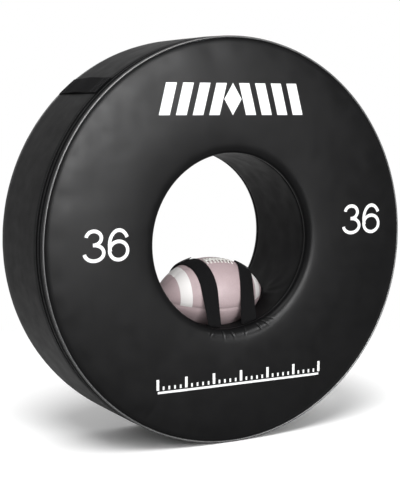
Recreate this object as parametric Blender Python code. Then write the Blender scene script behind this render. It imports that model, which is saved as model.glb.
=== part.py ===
# Tackling wheel: a foam ring in a zipped vinyl cover, with a football strapped into its bore.
# Metres, +Z up. The wheel stands on its tread, its axle line runs along Y and its front faces -Y.
# The origin is on the ground under the wheel's centre.

import bpy
import bmesh
from math import asin, atan2, ceil, cos, degrees, hypot, pi, radians, sin, sqrt
from mathutils import Vector

# Wheel
wheel_radius = 0.4572
wheel_width = 0.254
bore_radius = 0.197
ring_steps = 60
seam_gap = 0.0003

# Cover
vinyl_thickness = 0.0013
crown_rise = 0.0015
roll_width = 0.014
roll_depth = 0.0045
lip_radius = 0.02
lip_hem = 0.004
rim_draw = 0.003
tread_ease = 0.012
piping_radius = 0.0024
piping_sides = 6

# Zip
border_width = 0.009
zip_window = 0.024
zip_setback = 0.002
tape_thickness = 0.0008
tape_margin = 0.006
coil_width = 0.003
coil_height = 0.0022
chain_gap = 0.0018
zip_first_step = 9
zip_steps = 41
stop_length = 0.004
foam_shoulder_run = 0.018

# Zip slider and its pull
slider_length = 0.016
slider_width = 0.012
slider_top = 0.0014
slider_under = 0.0009
slider_blade = 0.001
slider_blade_length = 0.004
slider_play = 0.0004
arch_width = 0.0028
arch_length = 0.009
arch_bar = 0.0012
arch_height = 0.0032
pull_length = 0.03
pull_width = 0.009
pull_thickness = 0.001
pull_window_length = 0.0075
pull_window_width = 0.005
pull_eye = 0.0011

# Carry handles
webbing_width = 0.05
webbing_thickness = 0.0022
webbing_seat = 0.0006
handle_bow = 0.0025
handle_angles = (131, 311)

# Football
ball_length = 0.28
ball_diameter = 0.17
ball_tip_radius = 0.006
ball_sink = 0.021
ball_shift = 0.002
ball_roll = 16
leather_thickness = 0.0025
panel_gap = 0.0004
bladder_gap = 0.0005
bladder_wall = 0.001
bladder_sides = 12
bladder_rows = 6
valve_radius = 0.003
valve_flange_radius = 0.0055
valve_flange = 0.001
valve_angle = 225
lace_length = 0.07
lace_shift = 0.011
lace_width = 0.006
lace_thickness = 0.0016
cross_lace_width = 0.0045
cross_lace_span = 0.03
cross_lace_count = 8

# Straps over the football
strap_width = 0.035
strap_thickness = 0.0016
strap_stations = 20
strap_foot = 0.014
strap_foot_inset = 0.0015
strap_base_inset = 0.004
strap_base_gap = 0.0006
fastener_thickness = 0.0009
fastener_margin = 0.002
strap_start_share = 0.26
fastener_shares = (0.28, 0.84)
strap_end_share = 0.9
left_strap_crown_share = 0.3429
left_strap_slant_share = 0.0805
right_strap_crown_share = 0.6571
right_strap_slant_share = 0.3714

# Pressed hollow under the football
cradle_round = 0.006
cradle_reach = 0.014

# Sizes that follow from those above
half_width = wheel_width / 2
step_angle = 2 * pi / ring_steps
facet_share = cos(step_angle / 2)
axle_height = wheel_radius * facet_share
skin = vinyl_thickness + seam_gap
face_edge = half_width - crown_rise
seam_depth = face_edge - roll_depth
piping_line = wheel_radius - rim_draw - vinyl_thickness / 2
seam_radius = piping_line - piping_radius - seam_gap
tread_edge = seam_depth - piping_radius - seam_gap
bore_seam = face_edge - lip_radius - lip_hem
slab_edge = wheel_width / 6
window_front = -(tread_edge - border_width)
window_rear = window_front + zip_window
chain_line = (window_front + window_rear) / 2
tape_outer = wheel_radius - zip_setback - vinyl_thickness - seam_gap
tape_inner = tape_outer - tape_thickness
coil_inner = tape_outer + seam_gap
coil_outer = coil_inner + coil_height
under_outer = tape_inner * facet_share - slider_play
under_inner = under_outer - slider_under
shoulder_radius = under_inner - slider_play
shoulder_line = window_rear + tape_margin + seam_gap
ball_radius = ball_diameter / 2
ball_drop = bore_radius + ball_sink - ball_radius
ball_centre = Vector((ball_shift, 0, axle_height - ball_drop))
tip_rise = ball_radius - ball_tip_radius
arc_radius = ((ball_length / 2) ** 2 + tip_rise ** 2) / (2 * tip_rise)
arc_offset = arc_radius - ball_radius

# Each strap crosses at a share of the football's half length, and its feet slant by a share of
# the room left from there to the side of the bore
left_strap_crown = left_strap_crown_share * ball_length / 2
left_strap_slant = left_strap_slant_share * (bore_radius - left_strap_crown)
right_strap_crown = right_strap_crown_share * ball_length / 2
right_strap_slant = right_strap_slant_share * (bore_radius - right_strap_crown)

# Flat facets cut inside a curve, so the hollow and the straps stand off the football by that much
row_sag = (slab_edge / 2) ** 2 / (8 * ball_radius)
step_sag = ((bore_radius + ball_sink) * step_angle) ** 2 / (8 * arc_radius)
cradle_clearance = seam_gap + panel_gap + row_sag + step_sag
strap_slant = strap_width / 2 * right_strap_slant / (bore_seam - strap_base_inset)
station_sag = (pi * ball_radius / strap_stations + strap_slant) ** 2 / (8 * ball_radius)
aside_sag = (strap_width / 2) ** 2 / (8 * arc_radius)
strap_seat = seam_gap + panel_gap + station_sag + aside_sag
layer_gap = seam_gap + aside_sag
lace_pitch = (lace_length - cross_lace_width) / (cross_lace_count - 1)
lace_seat = seam_gap + panel_gap + lace_pitch ** 2 / (8 * ball_radius)
cradle_half = sqrt(ball_radius ** 2 - (ball_radius - ball_sink) ** 2) + cradle_reach

wheel_centre = Vector((0, 0, axle_height))


def clear_scene():
    for item in list(bpy.data.objects):
        bpy.data.objects.remove(item, do_unlink=True)


def material(name, colour, roughness, metallic=0.0):
    made = bpy.data.materials.new(name)
    made.use_nodes = True
    shader = made.node_tree.nodes["Principled BSDF"]
    shader.inputs["Base Color"].default_value = (*colour, 1)
    shader.inputs["Roughness"].default_value = roughness
    shader.inputs["Metallic"].default_value = metallic
    return made


def add_mesh(name, bm, finish, place=None, parent=None):
    """Turns a closed bmesh into a named, smooth-shaded object."""
    bmesh.ops.remove_doubles(bm, verts=bm.verts, dist=seam_gap / 30)
    bmesh.ops.recalc_face_normals(bm, faces=bm.faces)
    return add_shell(name, bm, finish, place, parent)


def add_shell(name, bm, finish, place=None, parent=None):
    mesh = bpy.data.meshes.new(name)
    bm.to_mesh(mesh)
    bm.free()
    mesh.shade_smooth()
    mesh.set_sharp_from_angle(angle=radians(35))
    mesh.materials.append(finish)
    made = bpy.data.objects.new(name, mesh)
    bpy.context.collection.objects.link(made)
    if place is not None:
        made.location = place
    made.parent = parent
    return made


def add_empty(name, place, turn=(0, 0, 0), parent=None):
    made = bpy.data.objects.new(name, None)
    bpy.context.collection.objects.link(made)
    made.location = place
    made.rotation_euler = turn
    made.parent = parent
    return made


def make_cutter(made):
    made.hide_render = True
    made.display_type = "WIRE"
    return made


def apply_boolean(target, tool, operation):
    cut = target.modifiers.new(operation.lower(), "BOOLEAN")
    cut.operation = operation
    cut.solver = "EXACT"
    cut.object = tool


# Turned pieces: a closed profile of (radius, y) points, spun about the axle line


def turned(name, profile, finish, first=0.0, steps=ring_steps, step=step_angle, trim=0.0):
    """Spins a profile from angle first, counted up from +X towards +Z as the front shows it."""
    bm = bmesh.new()
    start = first + trim
    ring = [bm.verts.new((radius * cos(start), y, radius * sin(start))) for radius, y in profile]
    edges = [bm.edges.new((a, b)) for a, b in zip(ring, ring[1:] + ring[:1])]
    whole = steps * step > 2 * pi - step / 2
    if not whole:
        bm.faces.new(ring)
    swept = bmesh.ops.spin(bm, geom=ring + edges, cent=(0, 0, 0), axis=(0, -1, 0), dvec=(0, 0, 0),
                           angle=steps * step - 2 * trim, steps=steps)
    if not whole:
        last = [item for item in swept["geom_last"] if isinstance(item, bmesh.types.BMEdge)]
        bmesh.ops.contextual_create(bm, geom=last)
    return add_mesh(name, bm, finish, wheel_centre)


def full_ring(name, profile, finish):
    """A whole ring whose facets match those of every other ring, with one facet flat on the ground."""
    return turned(name, profile, finish, first=step_angle / 2)


def band(outer, thickness):
    """A strip's profile: its outer line, then the same line a thickness nearer the axle."""
    return outer + [(radius - thickness, y) for radius, y in reversed(outer)]


def box_profile(inner, outer, low, high):
    return [(inner, low), (outer, low), (outer, high), (inner, high)]


def face_line(inset, roll_turns, crown_shares, lip_turns):
    """The side face from its rim seam to the bore, as (radius, distance from the middle plane)."""
    line = []
    for turn in roll_turns:
        across = (roll_width - inset) * cos(radians(turn))
        out = (roll_depth - inset) * sin(radians(turn))
        line.append((seam_radius - roll_width + across, seam_depth + out))
    outer = seam_radius - roll_width
    inner = bore_radius + lip_radius
    for share in crown_shares:
        rise = crown_rise * 4 * share * (1 - share)
        line.append((outer + (inner - outer) * share, face_edge + rise - inset))
    for turn in lip_turns:
        reach = lip_radius - inset
        line.append((inner - reach * sin(radians(turn)), face_edge - lip_radius + reach * cos(radians(turn))))
    return line


# The hollow that the strapped football presses into the foam


def ball_profile(x, padding):
    """The football's radius at x along its length, swollen by padding."""
    under = (arc_radius + padding) ** 2 - x ** 2
    return sqrt(under) - arc_offset if under > arc_offset ** 2 else 0.0


def ball_exit(angle, y):
    """How far from the axle line a ray at this angle leaves the padded football, or 0 if it misses."""
    over = ball_centre.x
    down = -ball_drop
    near = over * cos(angle) + down * sin(angle)

    def outside(reach):
        across = reach * cos(angle) - over
        up = reach * sin(angle) - down
        return hypot(y, up) - ball_profile(across, cradle_clearance)

    if near <= 0 or outside(near) >= 0:
        return 0.0
    low = near
    high = near + ball_length
    for _ in range(40):
        middle = (low + high) / 2
        if outside(middle) < 0:
            low = middle
        else:
            high = middle
    return high


def press(angle, y):
    """How deep the bore wall is pressed outwards at this angle and y, with a rounded edge."""
    depth = ball_exit(angle, y) - bore_radius
    if depth <= -cradle_round:
        return 0.0
    if depth >= cradle_round:
        return depth
    return (depth + cradle_round) ** 2 / (4 * cradle_round)


def press_cradle(piece):
    """Moves a ring's bore wall outwards where the football presses on it.

    Each of the wall's quads is split along the same diagonal in foam and sleeve, so that the
    bent quads of one follow those of the other.
    """
    bm = bmesh.new()
    bm.from_mesh(piece.data)
    wall = set()
    for vertex in bm.verts:
        radius = hypot(vertex.co.x, vertex.co.z)
        if radius < bore_radius + 2 * skin and abs(vertex.co.y) < bore_seam:
            wall.add(vertex)
            angle = atan2(vertex.co.z, vertex.co.x)
            pressed = (radius + press(angle, vertex.co.y)) / radius
            vertex.co.x *= pressed
            vertex.co.z *= pressed
    for face in list(bm.faces):
        if len(face.verts) == 4 and wall.issuperset(face.verts):
            middle = face.calc_center_median()
            ends = [vertex for vertex in face.verts if splits_wall(vertex.co, middle)]
            if len(ends) == 2:
                bmesh.utils.face_split(face, ends[0], ends[1])
    bm.to_mesh(piece.data)
    bm.free()


def splits_wall(corner, middle):
    """Whether a quad's corner is an end of the diagonal that splits it."""
    ahead = middle.x * corner.z - middle.z * corner.x
    return ahead * (corner.y - middle.y) * middle.y > 0


def cradle_rows():
    """Where the bore wall has a row of vertices, so that foam and sleeve press in alike."""
    half = [0, slab_edge / 2, slab_edge, (slab_edge + cradle_half) / 2, cradle_half]
    return [-y for y in reversed(half[1:])] + half


# Foam core: three slabs, glued face to face


def make_foam(finish):
    wall = bore_radius + skin
    outer = wheel_radius - skin
    rows = cradle_rows()
    lap = seam_gap / 2
    middle = [(wall, y) for y in rows if abs(y) < slab_edge - lap]
    middle = [(wall, lap - slab_edge)] + middle + [(wall, slab_edge - lap)]
    middle += [(outer, slab_edge - lap), (outer, lap - slab_edge)]
    press_cradle(full_ring("foam_slab_middle", middle, finish))

    for name, side in (("foam_slab_front", -1), ("foam_slab_rear", 1)):
        line = [(wall, slab_edge + lap)]
        line += [(wall, y) for y in rows if y > slab_edge + lap]
        line += reversed(face_line(skin, (90,), (0.5,), (0, 45, 90)))
        if side < 0:
            line.append((shoulder_radius, seam_depth - skin))
            line.append((shoulder_radius, -shoulder_line))
            line.append((outer, -shoulder_line - foam_shoulder_run))
        else:
            line.append((seam_radius - skin, seam_depth - skin))
            line.append((outer, tread_edge - tread_ease))
        line.append((outer, slab_edge + lap))
        press_cradle(full_ring(name, [(radius, side * y) for radius, y in line], finish))


# Cover


def make_cover(vinyl, piping):
    for name, side in (("cover_front_panel", -1), ("cover_rear_panel", 1)):
        outside = face_line(0, (0, 35, 90), (0.3, 0.65), (0, 30, 60, 90)) + [(bore_radius, bore_seam)]
        inside = face_line(vinyl_thickness, (0, 45, 90), (0.5,), (0, 45, 90))
        inside += [(bore_radius + vinyl_thickness, bore_seam)]
        profile = outside + inside[::-1]
        full_ring(name, [(radius, side * y) for radius, y in profile], vinyl)

    rows = [seam_gap - bore_seam] + cradle_rows() + [bore_seam - seam_gap]
    sleeve = [(bore_radius, y) for y in rows]
    sleeve += [(bore_radius + vinyl_thickness, y) for y in reversed(rows)]
    press_cradle(full_ring("cover_bore_sleeve", sleeve, vinyl))

    rim = wheel_radius - rim_draw
    lowered = wheel_radius - zip_setback
    border = band([(rim, -tread_edge), (lowered, window_front - tape_margin), (lowered, window_front)],
                  vinyl_thickness)
    full_ring("cover_front_border", border, vinyl)
    tread = band([(lowered, window_rear), (wheel_radius, window_rear + tread_ease),
                  (wheel_radius, tread_edge - tread_ease), (rim, tread_edge)], vinyl_thickness)
    full_ring("cover_tread_panel", tread, vinyl)
    closing = band([(lowered, window_front + seam_gap), (lowered, window_rear - seam_gap)],
                   vinyl_thickness)
    turned("cover_closing_strip", closing, vinyl, first=zip_angle(zip_steps),
           steps=ring_steps - zip_steps, trim=seam_gap / wheel_radius)

    for name, side in (("rim_piping_front", -1), ("rim_piping_rear", 1)):
        cord = []
        for k in range(piping_sides):
            turn = 2 * pi * (k + 0.5) / piping_sides
            cord.append((piping_line + piping_radius * cos(turn),
                         side * seam_depth + piping_radius * sin(turn)))
        full_ring(name, cord, piping)


# Zip: a coil zip round the front edge of the tread, shut with its slider at the upper right


def zip_angle(steps):
    return (zip_first_step + 0.5 + steps) * step_angle


def make_zip(tape, coil, metal):
    half_chain = chain_gap / 2
    slip = seam_gap / wheel_radius
    stop_angle = stop_length / wheel_radius
    park_angle = slider_length / wheel_radius
    first = zip_angle(0)
    run = zip_steps * step_angle
    for name, side, far in (("front", -1, window_front - tape_margin),
                            ("rear", 1, window_rear + tape_margin)):
        near = chain_line + side * half_chain
        coil_far = near + side * coil_width
        strip = box_profile(tape_inner, tape_outer, min(near, far), max(near, far))
        turned("zip_tape_" + name, strip, tape, first=first, steps=zip_steps, trim=slip)
        teeth = box_profile(coil_inner, coil_outer, min(near, coil_far), max(near, coil_far))
        turned("zip_coil_" + name, teeth, coil, first=first, steps=zip_steps,
               trim=stop_angle + 3 * slip)
    reach = half_chain + coil_width
    block = box_profile(coil_inner, coil_outer, chain_line - reach, chain_line + reach)
    turned("zip_top_stop", block, metal, first=first + slip, steps=1, step=stop_angle)
    turned("zip_bottom_stop", block, metal, first=first + run - slip - stop_angle, steps=1,
           step=stop_angle)
    return first + 4 * slip + stop_angle + park_angle / 2


def add_block(name, low, high, finish, place, parent):
    """A box between two corners."""
    bm = bmesh.new()
    bmesh.ops.create_cube(bm, size=1)
    low = Vector(low)
    high = Vector(high)
    for vertex in bm.verts:
        share = vertex.co + Vector((0.5, 0.5, 0.5))
        vertex.co = low + Vector([a * b for a, b in zip(share, high - low)])
    return add_mesh(name, bm, finish, place, parent)


def make_slider(park, metal):
    """The slider is drawn at angle 0, where X is outwards and Z runs along the zip."""
    pivot = add_empty("zip_slider_pivot", wheel_centre, (0, -park, 0))
    half_length = slider_length / 2
    half_wide = slider_width / 2
    plate_in = coil_outer + slider_play
    plate_out = plate_in + slider_top
    low = (plate_in, chain_line - half_wide, -half_length)
    high = (plate_out, chain_line + half_wide, half_length)
    body = add_block("zip_slider", low, high, metal, (0, 0, 0), pivot)

    under_low = (under_inner, chain_line - half_wide, -half_length)
    under_high = (under_outer, chain_line + half_wide, half_length)
    blade = slider_blade / 2
    blade_low = (under_outer - slider_under / 2, chain_line - blade, -half_length)
    blade_high = (plate_in + slider_top / 2, chain_line + blade, slider_blade_length - half_length)
    arch_half = arch_width / 2
    arch_low = (plate_out - slider_top / 2, chain_line - arch_half, -arch_length / 2)
    arch_high = (plate_out + arch_height, chain_line + arch_half, arch_length / 2)
    hole_low = (plate_out, chain_line - arch_width, arch_bar - arch_length / 2)
    hole_high = (plate_out + arch_height - arch_bar, chain_line + arch_width,
                 arch_length / 2 - arch_bar)
    for name, start, end, operation in (
            ("slider_under_tool", under_low, under_high, "UNION"),
            ("slider_blade_tool", blade_low, blade_high, "UNION"),
            ("slider_arch_tool", arch_low, arch_high, "UNION"),
            ("slider_hole_tool", hole_low, hole_high, "DIFFERENCE")):
        tool = make_cutter(add_block(name, start, end, metal, (0, 0, 0), pivot))
        apply_boolean(body, tool, operation)

    # The pull's eye lies under the arch, at the end that looks down the tread
    eye_x = plate_out + (arch_height - arch_bar) / 2
    eye_z = arch_bar + seam_gap + pull_eye / 2 - arch_length / 2
    hinge = add_empty("zip_pull_pivot", (eye_x, chain_line, eye_z), (0, 0, 0), pivot)
    half_thick = pull_thickness / 2
    tab = add_block("zip_pull_tab", (-half_thick, -pull_width / 2, pull_eye / 2 - pull_length),
                    (half_thick, pull_width / 2, pull_eye / 2), metal, (0, 0, 0), hinge)
    window = add_block("pull_window_tool",
                       (-pull_thickness, -pull_window_width / 2, -pull_eye / 2 - pull_window_length),
                       (pull_thickness, pull_window_width / 2, -pull_eye / 2), metal, (0, 0, 0), hinge)
    apply_boolean(tab, make_cutter(window), "DIFFERENCE")


# Carry handles: webbing across the tread, sewn in at both ends


def make_handles(webbing):
    rim = wheel_radius - rim_draw + webbing_seat
    lowered = wheel_radius - zip_setback + webbing_seat
    level = wheel_radius + webbing_seat
    start = window_rear + tread_ease
    end = tread_edge - tread_ease
    line = [(lowered, window_rear + seam_gap), (level, start)]
    bow_points = 8
    for k in range(1, bow_points):
        share = k / bow_points
        line.append((level + handle_bow * sin(pi * share) ** 2, start + (end - start) * share))
    line += [(level, end), (rim, tread_edge)]
    profile = line + [(radius + webbing_thickness, y) for radius, y in reversed(line)]
    wide = webbing_width / wheel_radius
    for name, angle in zip(("carry_handle_upper", "carry_handle_lower"), handle_angles):
        turned(name, profile, webbing, first=radians(angle) - wide / 2, steps=2, step=wide / 2)


# Football


def ball_arc(padding, points):
    """The football's outline from end to end, as (x, radius), swollen by padding."""
    half = ball_length / 2
    line = []
    for k in range(points + 1):
        x = -half * cos(pi * k / points)
        line.append((x, ball_profile(x, padding)))
    return line


def make_ball_panels(leather, place):
    outside = ball_arc(0, 2 * bladder_rows)
    inside = ball_arc(-leather_thickness, 2 * bladder_rows)
    profile = outside + inside[::-1]
    panels = {}
    for name, middle in (("rear_upper", 45), ("rear_lower", 135),
                         ("front_lower", 225), ("front_upper", 315)):
        bm = bmesh.new()
        start = radians(middle - 45)
        ring = [bm.verts.new((x, radius * sin(start), radius * cos(start))) for x, radius in profile]
        edges = [bm.edges.new((a, b)) for a, b in zip(ring, ring[1:] + ring[:1])]
        bm.faces.new(ring)
        swept = bmesh.ops.spin(bm, geom=ring + edges, cent=(0, 0, 0), axis=(-1, 0, 0),
                               dvec=(0, 0, 0), angle=pi / 2, steps=bladder_sides // 2)
        last = [item for item in swept["geom_last"] if isinstance(item, bmesh.types.BMEdge)]
        bmesh.ops.contextual_create(bm, geom=last)
        aside = panel_gap / sqrt(2)
        turn = radians(middle)
        shift = (0, aside * sin(turn), aside * cos(turn))
        panels[name] = add_mesh("ball_panel_" + name, bm, leather, shift, place)
    return panels


def ball_skin(bm, padding, sides, points, inward):
    """Adds a closed football surface to bm, facing out, or in where it lines a hollow."""
    part = bmesh.new()
    half = sqrt((arc_radius + padding) ** 2 - arc_offset ** 2)
    verts = []
    for k in range(points + 1):
        x = -half * cos(pi * k / points)
        radius = 0.0 if k in (0, points) else ball_profile(x, padding)
        verts.append(part.verts.new((x, 0, radius)))
    edges = [part.edges.new((a, b)) for a, b in zip(verts, verts[1:])]
    bmesh.ops.spin(part, geom=verts + edges, cent=(0, 0, 0), axis=(1, 0, 0), dvec=(0, 0, 0),
                   angle=2 * pi, steps=sides)
    bmesh.ops.remove_doubles(part, verts=part.verts, dist=seam_gap / 30)
    bmesh.ops.recalc_face_normals(part, faces=part.faces)
    if inward:
        bmesh.ops.reverse_faces(part, faces=part.faces)
    spare = bpy.data.meshes.new("spare_skin")
    part.to_mesh(spare)
    part.free()
    bm.from_mesh(spare)
    bpy.data.meshes.remove(spare)


def lathe(name, profile, sides, finish, place, parent, turn):
    """Turns (radius, height) points about a local Z axis; the first and last lie on it."""
    bm = bmesh.new()
    verts = [bm.verts.new((radius, 0, height)) for radius, height in profile]
    edges = [bm.edges.new((a, b)) for a, b in zip(verts, verts[1:])]
    bmesh.ops.spin(bm, geom=verts + edges, cent=(0, 0, 0), axis=(0, 0, 1), dvec=(0, 0, 0),
                   angle=2 * pi, steps=sides)
    made = add_mesh(name, bm, finish, place, parent)
    made.rotation_euler = turn
    return made


def make_bladder(rubber, place, panels):
    outer = -leather_thickness - bladder_gap
    inner = outer - bladder_wall
    bm = bmesh.new()
    ball_skin(bm, outer, bladder_sides, bladder_rows, False)
    ball_skin(bm, inner, bladder_sides, bladder_rows, True)
    bladder = add_shell("ball_bladder", bm, rubber, (0, 0, 0), place)

    # The valve's neck comes out through the front lower panel, and its flange holds it inside
    turn = (-radians(valve_angle), 0, 0)
    top = ball_radius + seam_gap
    under = ball_radius + inner - seam_gap
    bottom = under - valve_flange
    neck = [(0, top), (valve_radius, top), (valve_radius, under), (valve_flange_radius, under),
            (valve_flange_radius, bottom), (0, bottom)]
    lathe("ball_valve", neck, 12, rubber, (0, 0, 0), place, turn)
    wide = valve_radius + seam_gap
    hole = [(0, top + wide), (wide, top + wide), (wide, bottom - wide), (0, bottom - wide)]
    tool = make_cutter(lathe("valve_hole_tool", hole, 12, rubber, (0, 0, 0), place, turn))
    apply_boolean(bladder, tool, "DIFFERENCE")
    apply_boolean(panels["front_lower"], tool, "DIFFERENCE")


def make_laces(lace, place):
    """One lace: a band along the ball's top seam, crossed by short bars."""
    starts = [lace_shift - lace_length / 2 + k * lace_pitch for k in range(cross_lace_count)]
    xs = sorted(starts + [x + cross_lace_width for x in starts])
    half_span = cross_lace_span / 2
    half_band = lace_width / 2
    rows = [-half_span, -(half_span + half_band) / 2, -half_band, half_band,
            (half_span + half_band) / 2, half_span]
    bm = bmesh.new()
    grid = {}

    def corner(i, j):
        if (i, j) not in grid:
            grid[i, j] = bm.verts.new((xs[i], rows[j], 0))
        return grid[i, j]

    for i in range(len(xs) - 1):
        for j in range(len(rows) - 1):
            if i % 2 == 0 or j == 2:
                bm.faces.new((corner(i, j), corner(i + 1, j), corner(i + 1, j + 1), corner(i, j + 1)))
    raised = bmesh.ops.extrude_face_region(bm, geom=list(bm.faces))
    for item in raised["geom"]:
        if isinstance(item, bmesh.types.BMVert):
            item.co.z = lace_thickness
    for vertex in bm.verts:
        x, across, height = vertex.co
        radius = ball_profile(x, 0) + lace_seat + height
        angle = across / ball_radius
        vertex.co = (x, radius * sin(angle), radius * cos(angle))
    add_mesh("ball_laces", bm, lace, (0, 0, 0), place)


# Straps: each half is drawn taut from its foot on the bore wall to the football and over it


class StrapLine:
    """The upright plane in which one strap crosses the football."""

    def __init__(self, foot_x, crown_x):
        self.foot_y = bore_seam - strap_base_inset
        self.crown_x = crown_x
        self.skew = atan2(crown_x - foot_x, self.foot_y)
        self.reach = hypot(crown_x - foot_x, self.foot_y)

    def plan(self, along, aside):
        """The plan point a distance along the strap from the crown, and aside from its middle."""
        x = self.crown_x + along * sin(self.skew) + aside * cos(self.skew)
        y = along * cos(self.skew) - aside * sin(self.skew)
        return x, y

    def turn_at(self, along, aside, padding):
        """The angle round the football's long axis, from its top, of a point on the strap."""
        x, y = self.plan(along, aside)
        return asin(y / ball_profile(x - ball_centre.x, padding))

    def along_at(self, turn, aside, padding):
        """The distance along the strap at which it has gone that far round the football."""
        along = 0
        for _ in range(12):
            x = self.plan(along, aside)[0]
            y = ball_profile(x - ball_centre.x, padding) * sin(turn)
            along = (y + aside * sin(self.skew)) / cos(self.skew)
        return along

    def ball_top(self, along, aside, padding):
        """Height of the padded football over that plan point, above its centre, or None."""
        x, y = self.plan(along, aside)
        radius = ball_profile(x - ball_centre.x, padding)
        if radius <= abs(y):
            return None
        return ball_centre.z + sqrt(radius ** 2 - y ** 2)

    def foot_top(self, along, aside):
        """Height at which the strap's end stands on its sewn foot."""
        x, _ = self.plan(along, aside)
        wall = bore_radius * facet_share - seam_gap - strap_thickness - strap_base_gap
        return axle_height - sqrt(wall ** 2 - x ** 2)

    def touch(self, side, aside, padding, out):
        """Where a taut line from the foot first touches the football; side is -1 in front."""
        base = side * (self.reach + out)
        low = self.foot_top(side * self.reach, aside)
        best = None
        tries = 400
        for k in range(tries):
            along = side * self.reach * k / tries
            top = self.ball_top(along, aside, padding)
            if top is None:
                break
            slope = (top - low) / abs(base - along)
            if best is None or slope > best[0]:
                best = (slope, along)
        return best[1]

    def station(self, along, aside, padding):
        x, y = self.plan(along, aside)
        return Vector((x, y, self.ball_top(along, aside, padding)))

    def foot(self, side, aside, out):
        x, y = self.plan(side * (self.reach + out), aside)
        return Vector((x, y, self.foot_top(side * self.reach, aside)))


def loft(name, loops, finish, origin):
    """Joins closed loops of points into a solid with flat ends, about an origin of its own.

    A loop goes along one side of the webbing and back along the other. Both sides are cut into
    triangles the same way, so a twisted stretch keeps its thickness.
    """
    bm = bmesh.new()
    rings = [[bm.verts.new(point - origin) for point in loop] for loop in loops]
    count = len(rings[0])
    for ring, following in zip(rings, rings[1:]):
        for k in range(count):
            nearest = (k + 1) % count
            corners = (ring[k], ring[nearest], following[nearest], following[k])
            if k < count // 2:
                pair = ((0, 1, 2), (0, 2, 3))
            else:
                pair = ((0, 1, 3), (1, 2, 3))
            for picked in pair:
                bm.faces.new([corners[c] for c in picked])
    for end in (rings[0], rings[-1]):
        bm.faces.new(end)
    return add_mesh(name, bm, finish, origin)


def strap_loop(points_in, points_out):
    return points_in + points_out[::-1]


def strap_hinge(line, side):
    """The fold line at a strap's foot: its middle and its direction, as the hinge needs them."""
    half = strap_width / 2
    out = strap_thickness / 2
    left = line.foot(side, -half, out)
    right = line.foot(side, half, out)
    return (left + right) / 2 + Vector((0, 0, strap_thickness / 2)), (right - left).normalized()


def make_strap_half(name, line, side, low, end_share, webbing):
    """One half strap from its foot to where it ends; end_share is of the rear touching point."""
    half = strap_width / 2
    asides = (-half, 0, half)
    high = low + strap_thickness
    loops = [strap_loop([line.foot(side, aside, 0) for aside in asides],
                        [line.foot(side, aside, strap_thickness) for aside in asides])]
    rear = min(line.touch(1, aside, high, strap_thickness) for aside in asides)
    end = rear * end_share
    turn = abs(line.turn_at(end, 0, low) - line.turn_at(line.touch(side, 0, low, 0), 0, low))
    stations = ceil(strap_stations * turn / pi)
    for k in range(stations + 1):
        share = k / stations
        rows = []
        for padding, out in ((low, 0), (high, strap_thickness)):
            row = []
            for aside in asides:
                first = line.turn_at(line.touch(side, aside, padding, out), aside, padding)
                last = line.turn_at(end, aside, padding)
                along = line.along_at(first + (last - first) * share, aside, padding)
                row.append(line.station(along, aside, padding))
            rows.append(row)
        loops.append(strap_loop(rows[0], rows[1]))
    return loft(name, loops, webbing, strap_hinge(line, side)[0])


def make_fastener(name, line, low, finish, origin):
    """A hook or loop patch on the overlap behind the crown."""
    half = strap_width / 2 - fastener_margin
    asides = (-half, 0, half)
    high = low + fastener_thickness
    rear = min(line.touch(1, aside, low, strap_thickness) for aside in asides)
    loops = []
    steps = 4
    for k in range(steps + 1):
        share = fastener_shares[0] + (fastener_shares[1] - fastener_shares[0]) * k / steps
        loops.append(strap_loop([line.station(rear * share, aside, low) for aside in asides],
                                [line.station(rear * share, aside, high) for aside in asides]))
    return loft(name, loops, finish, origin)


def make_foot(name, line, side, webbing):
    """The strap's turned end, sewn flat on the bore sleeve just inside its seam."""
    x = line.plan(side * line.reach, 0)[0]
    outer = bore_radius * facet_share - seam_gap
    far = bore_seam - strap_foot_inset
    profile = box_profile(outer - strap_thickness, outer, side * far, side * (far - strap_foot))
    wide = strap_width / outer
    turned(name, profile, webbing, first=asin(x / outer) - pi / 2 - wide / 2, steps=3, step=wide / 3)


def make_straps(webbing, loop_pile, hook_pile):
    front_low = strap_seat
    loop_low = front_low + strap_thickness + layer_gap
    hook_low = loop_low + fastener_thickness + layer_gap
    rear_low = hook_low + fastener_thickness + seam_gap + station_sag
    for hand, crown_x, slant in (("left", -left_strap_crown, -left_strap_slant),
                                 ("right", right_strap_crown, right_strap_slant)):
        line = StrapLine(crown_x - slant, crown_x)
        front = make_strap_half(hand + "_strap_front", line, -1, front_low, strap_end_share, webbing)
        rear = make_strap_half(hand + "_strap_rear", line, 1, rear_low, strap_start_share, webbing)
        make_fastener(hand + "_strap_loop_patch", line, loop_low, loop_pile, front.location)
        make_fastener(hand + "_strap_hook_patch", line, hook_low, hook_pile, rear.location)
        make_foot(hand + "_strap_foot_front", line, -1, webbing)
        make_foot(hand + "_strap_foot_rear", line, 1, webbing)
        for side, end in ((-1, "front"), (1, "rear")):
            spot, axis = strap_hinge(line, side)
            print(hand, end, "strap hinge", [round(c, 6) for c in spot], [round(c, 6) for c in axis])


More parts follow.
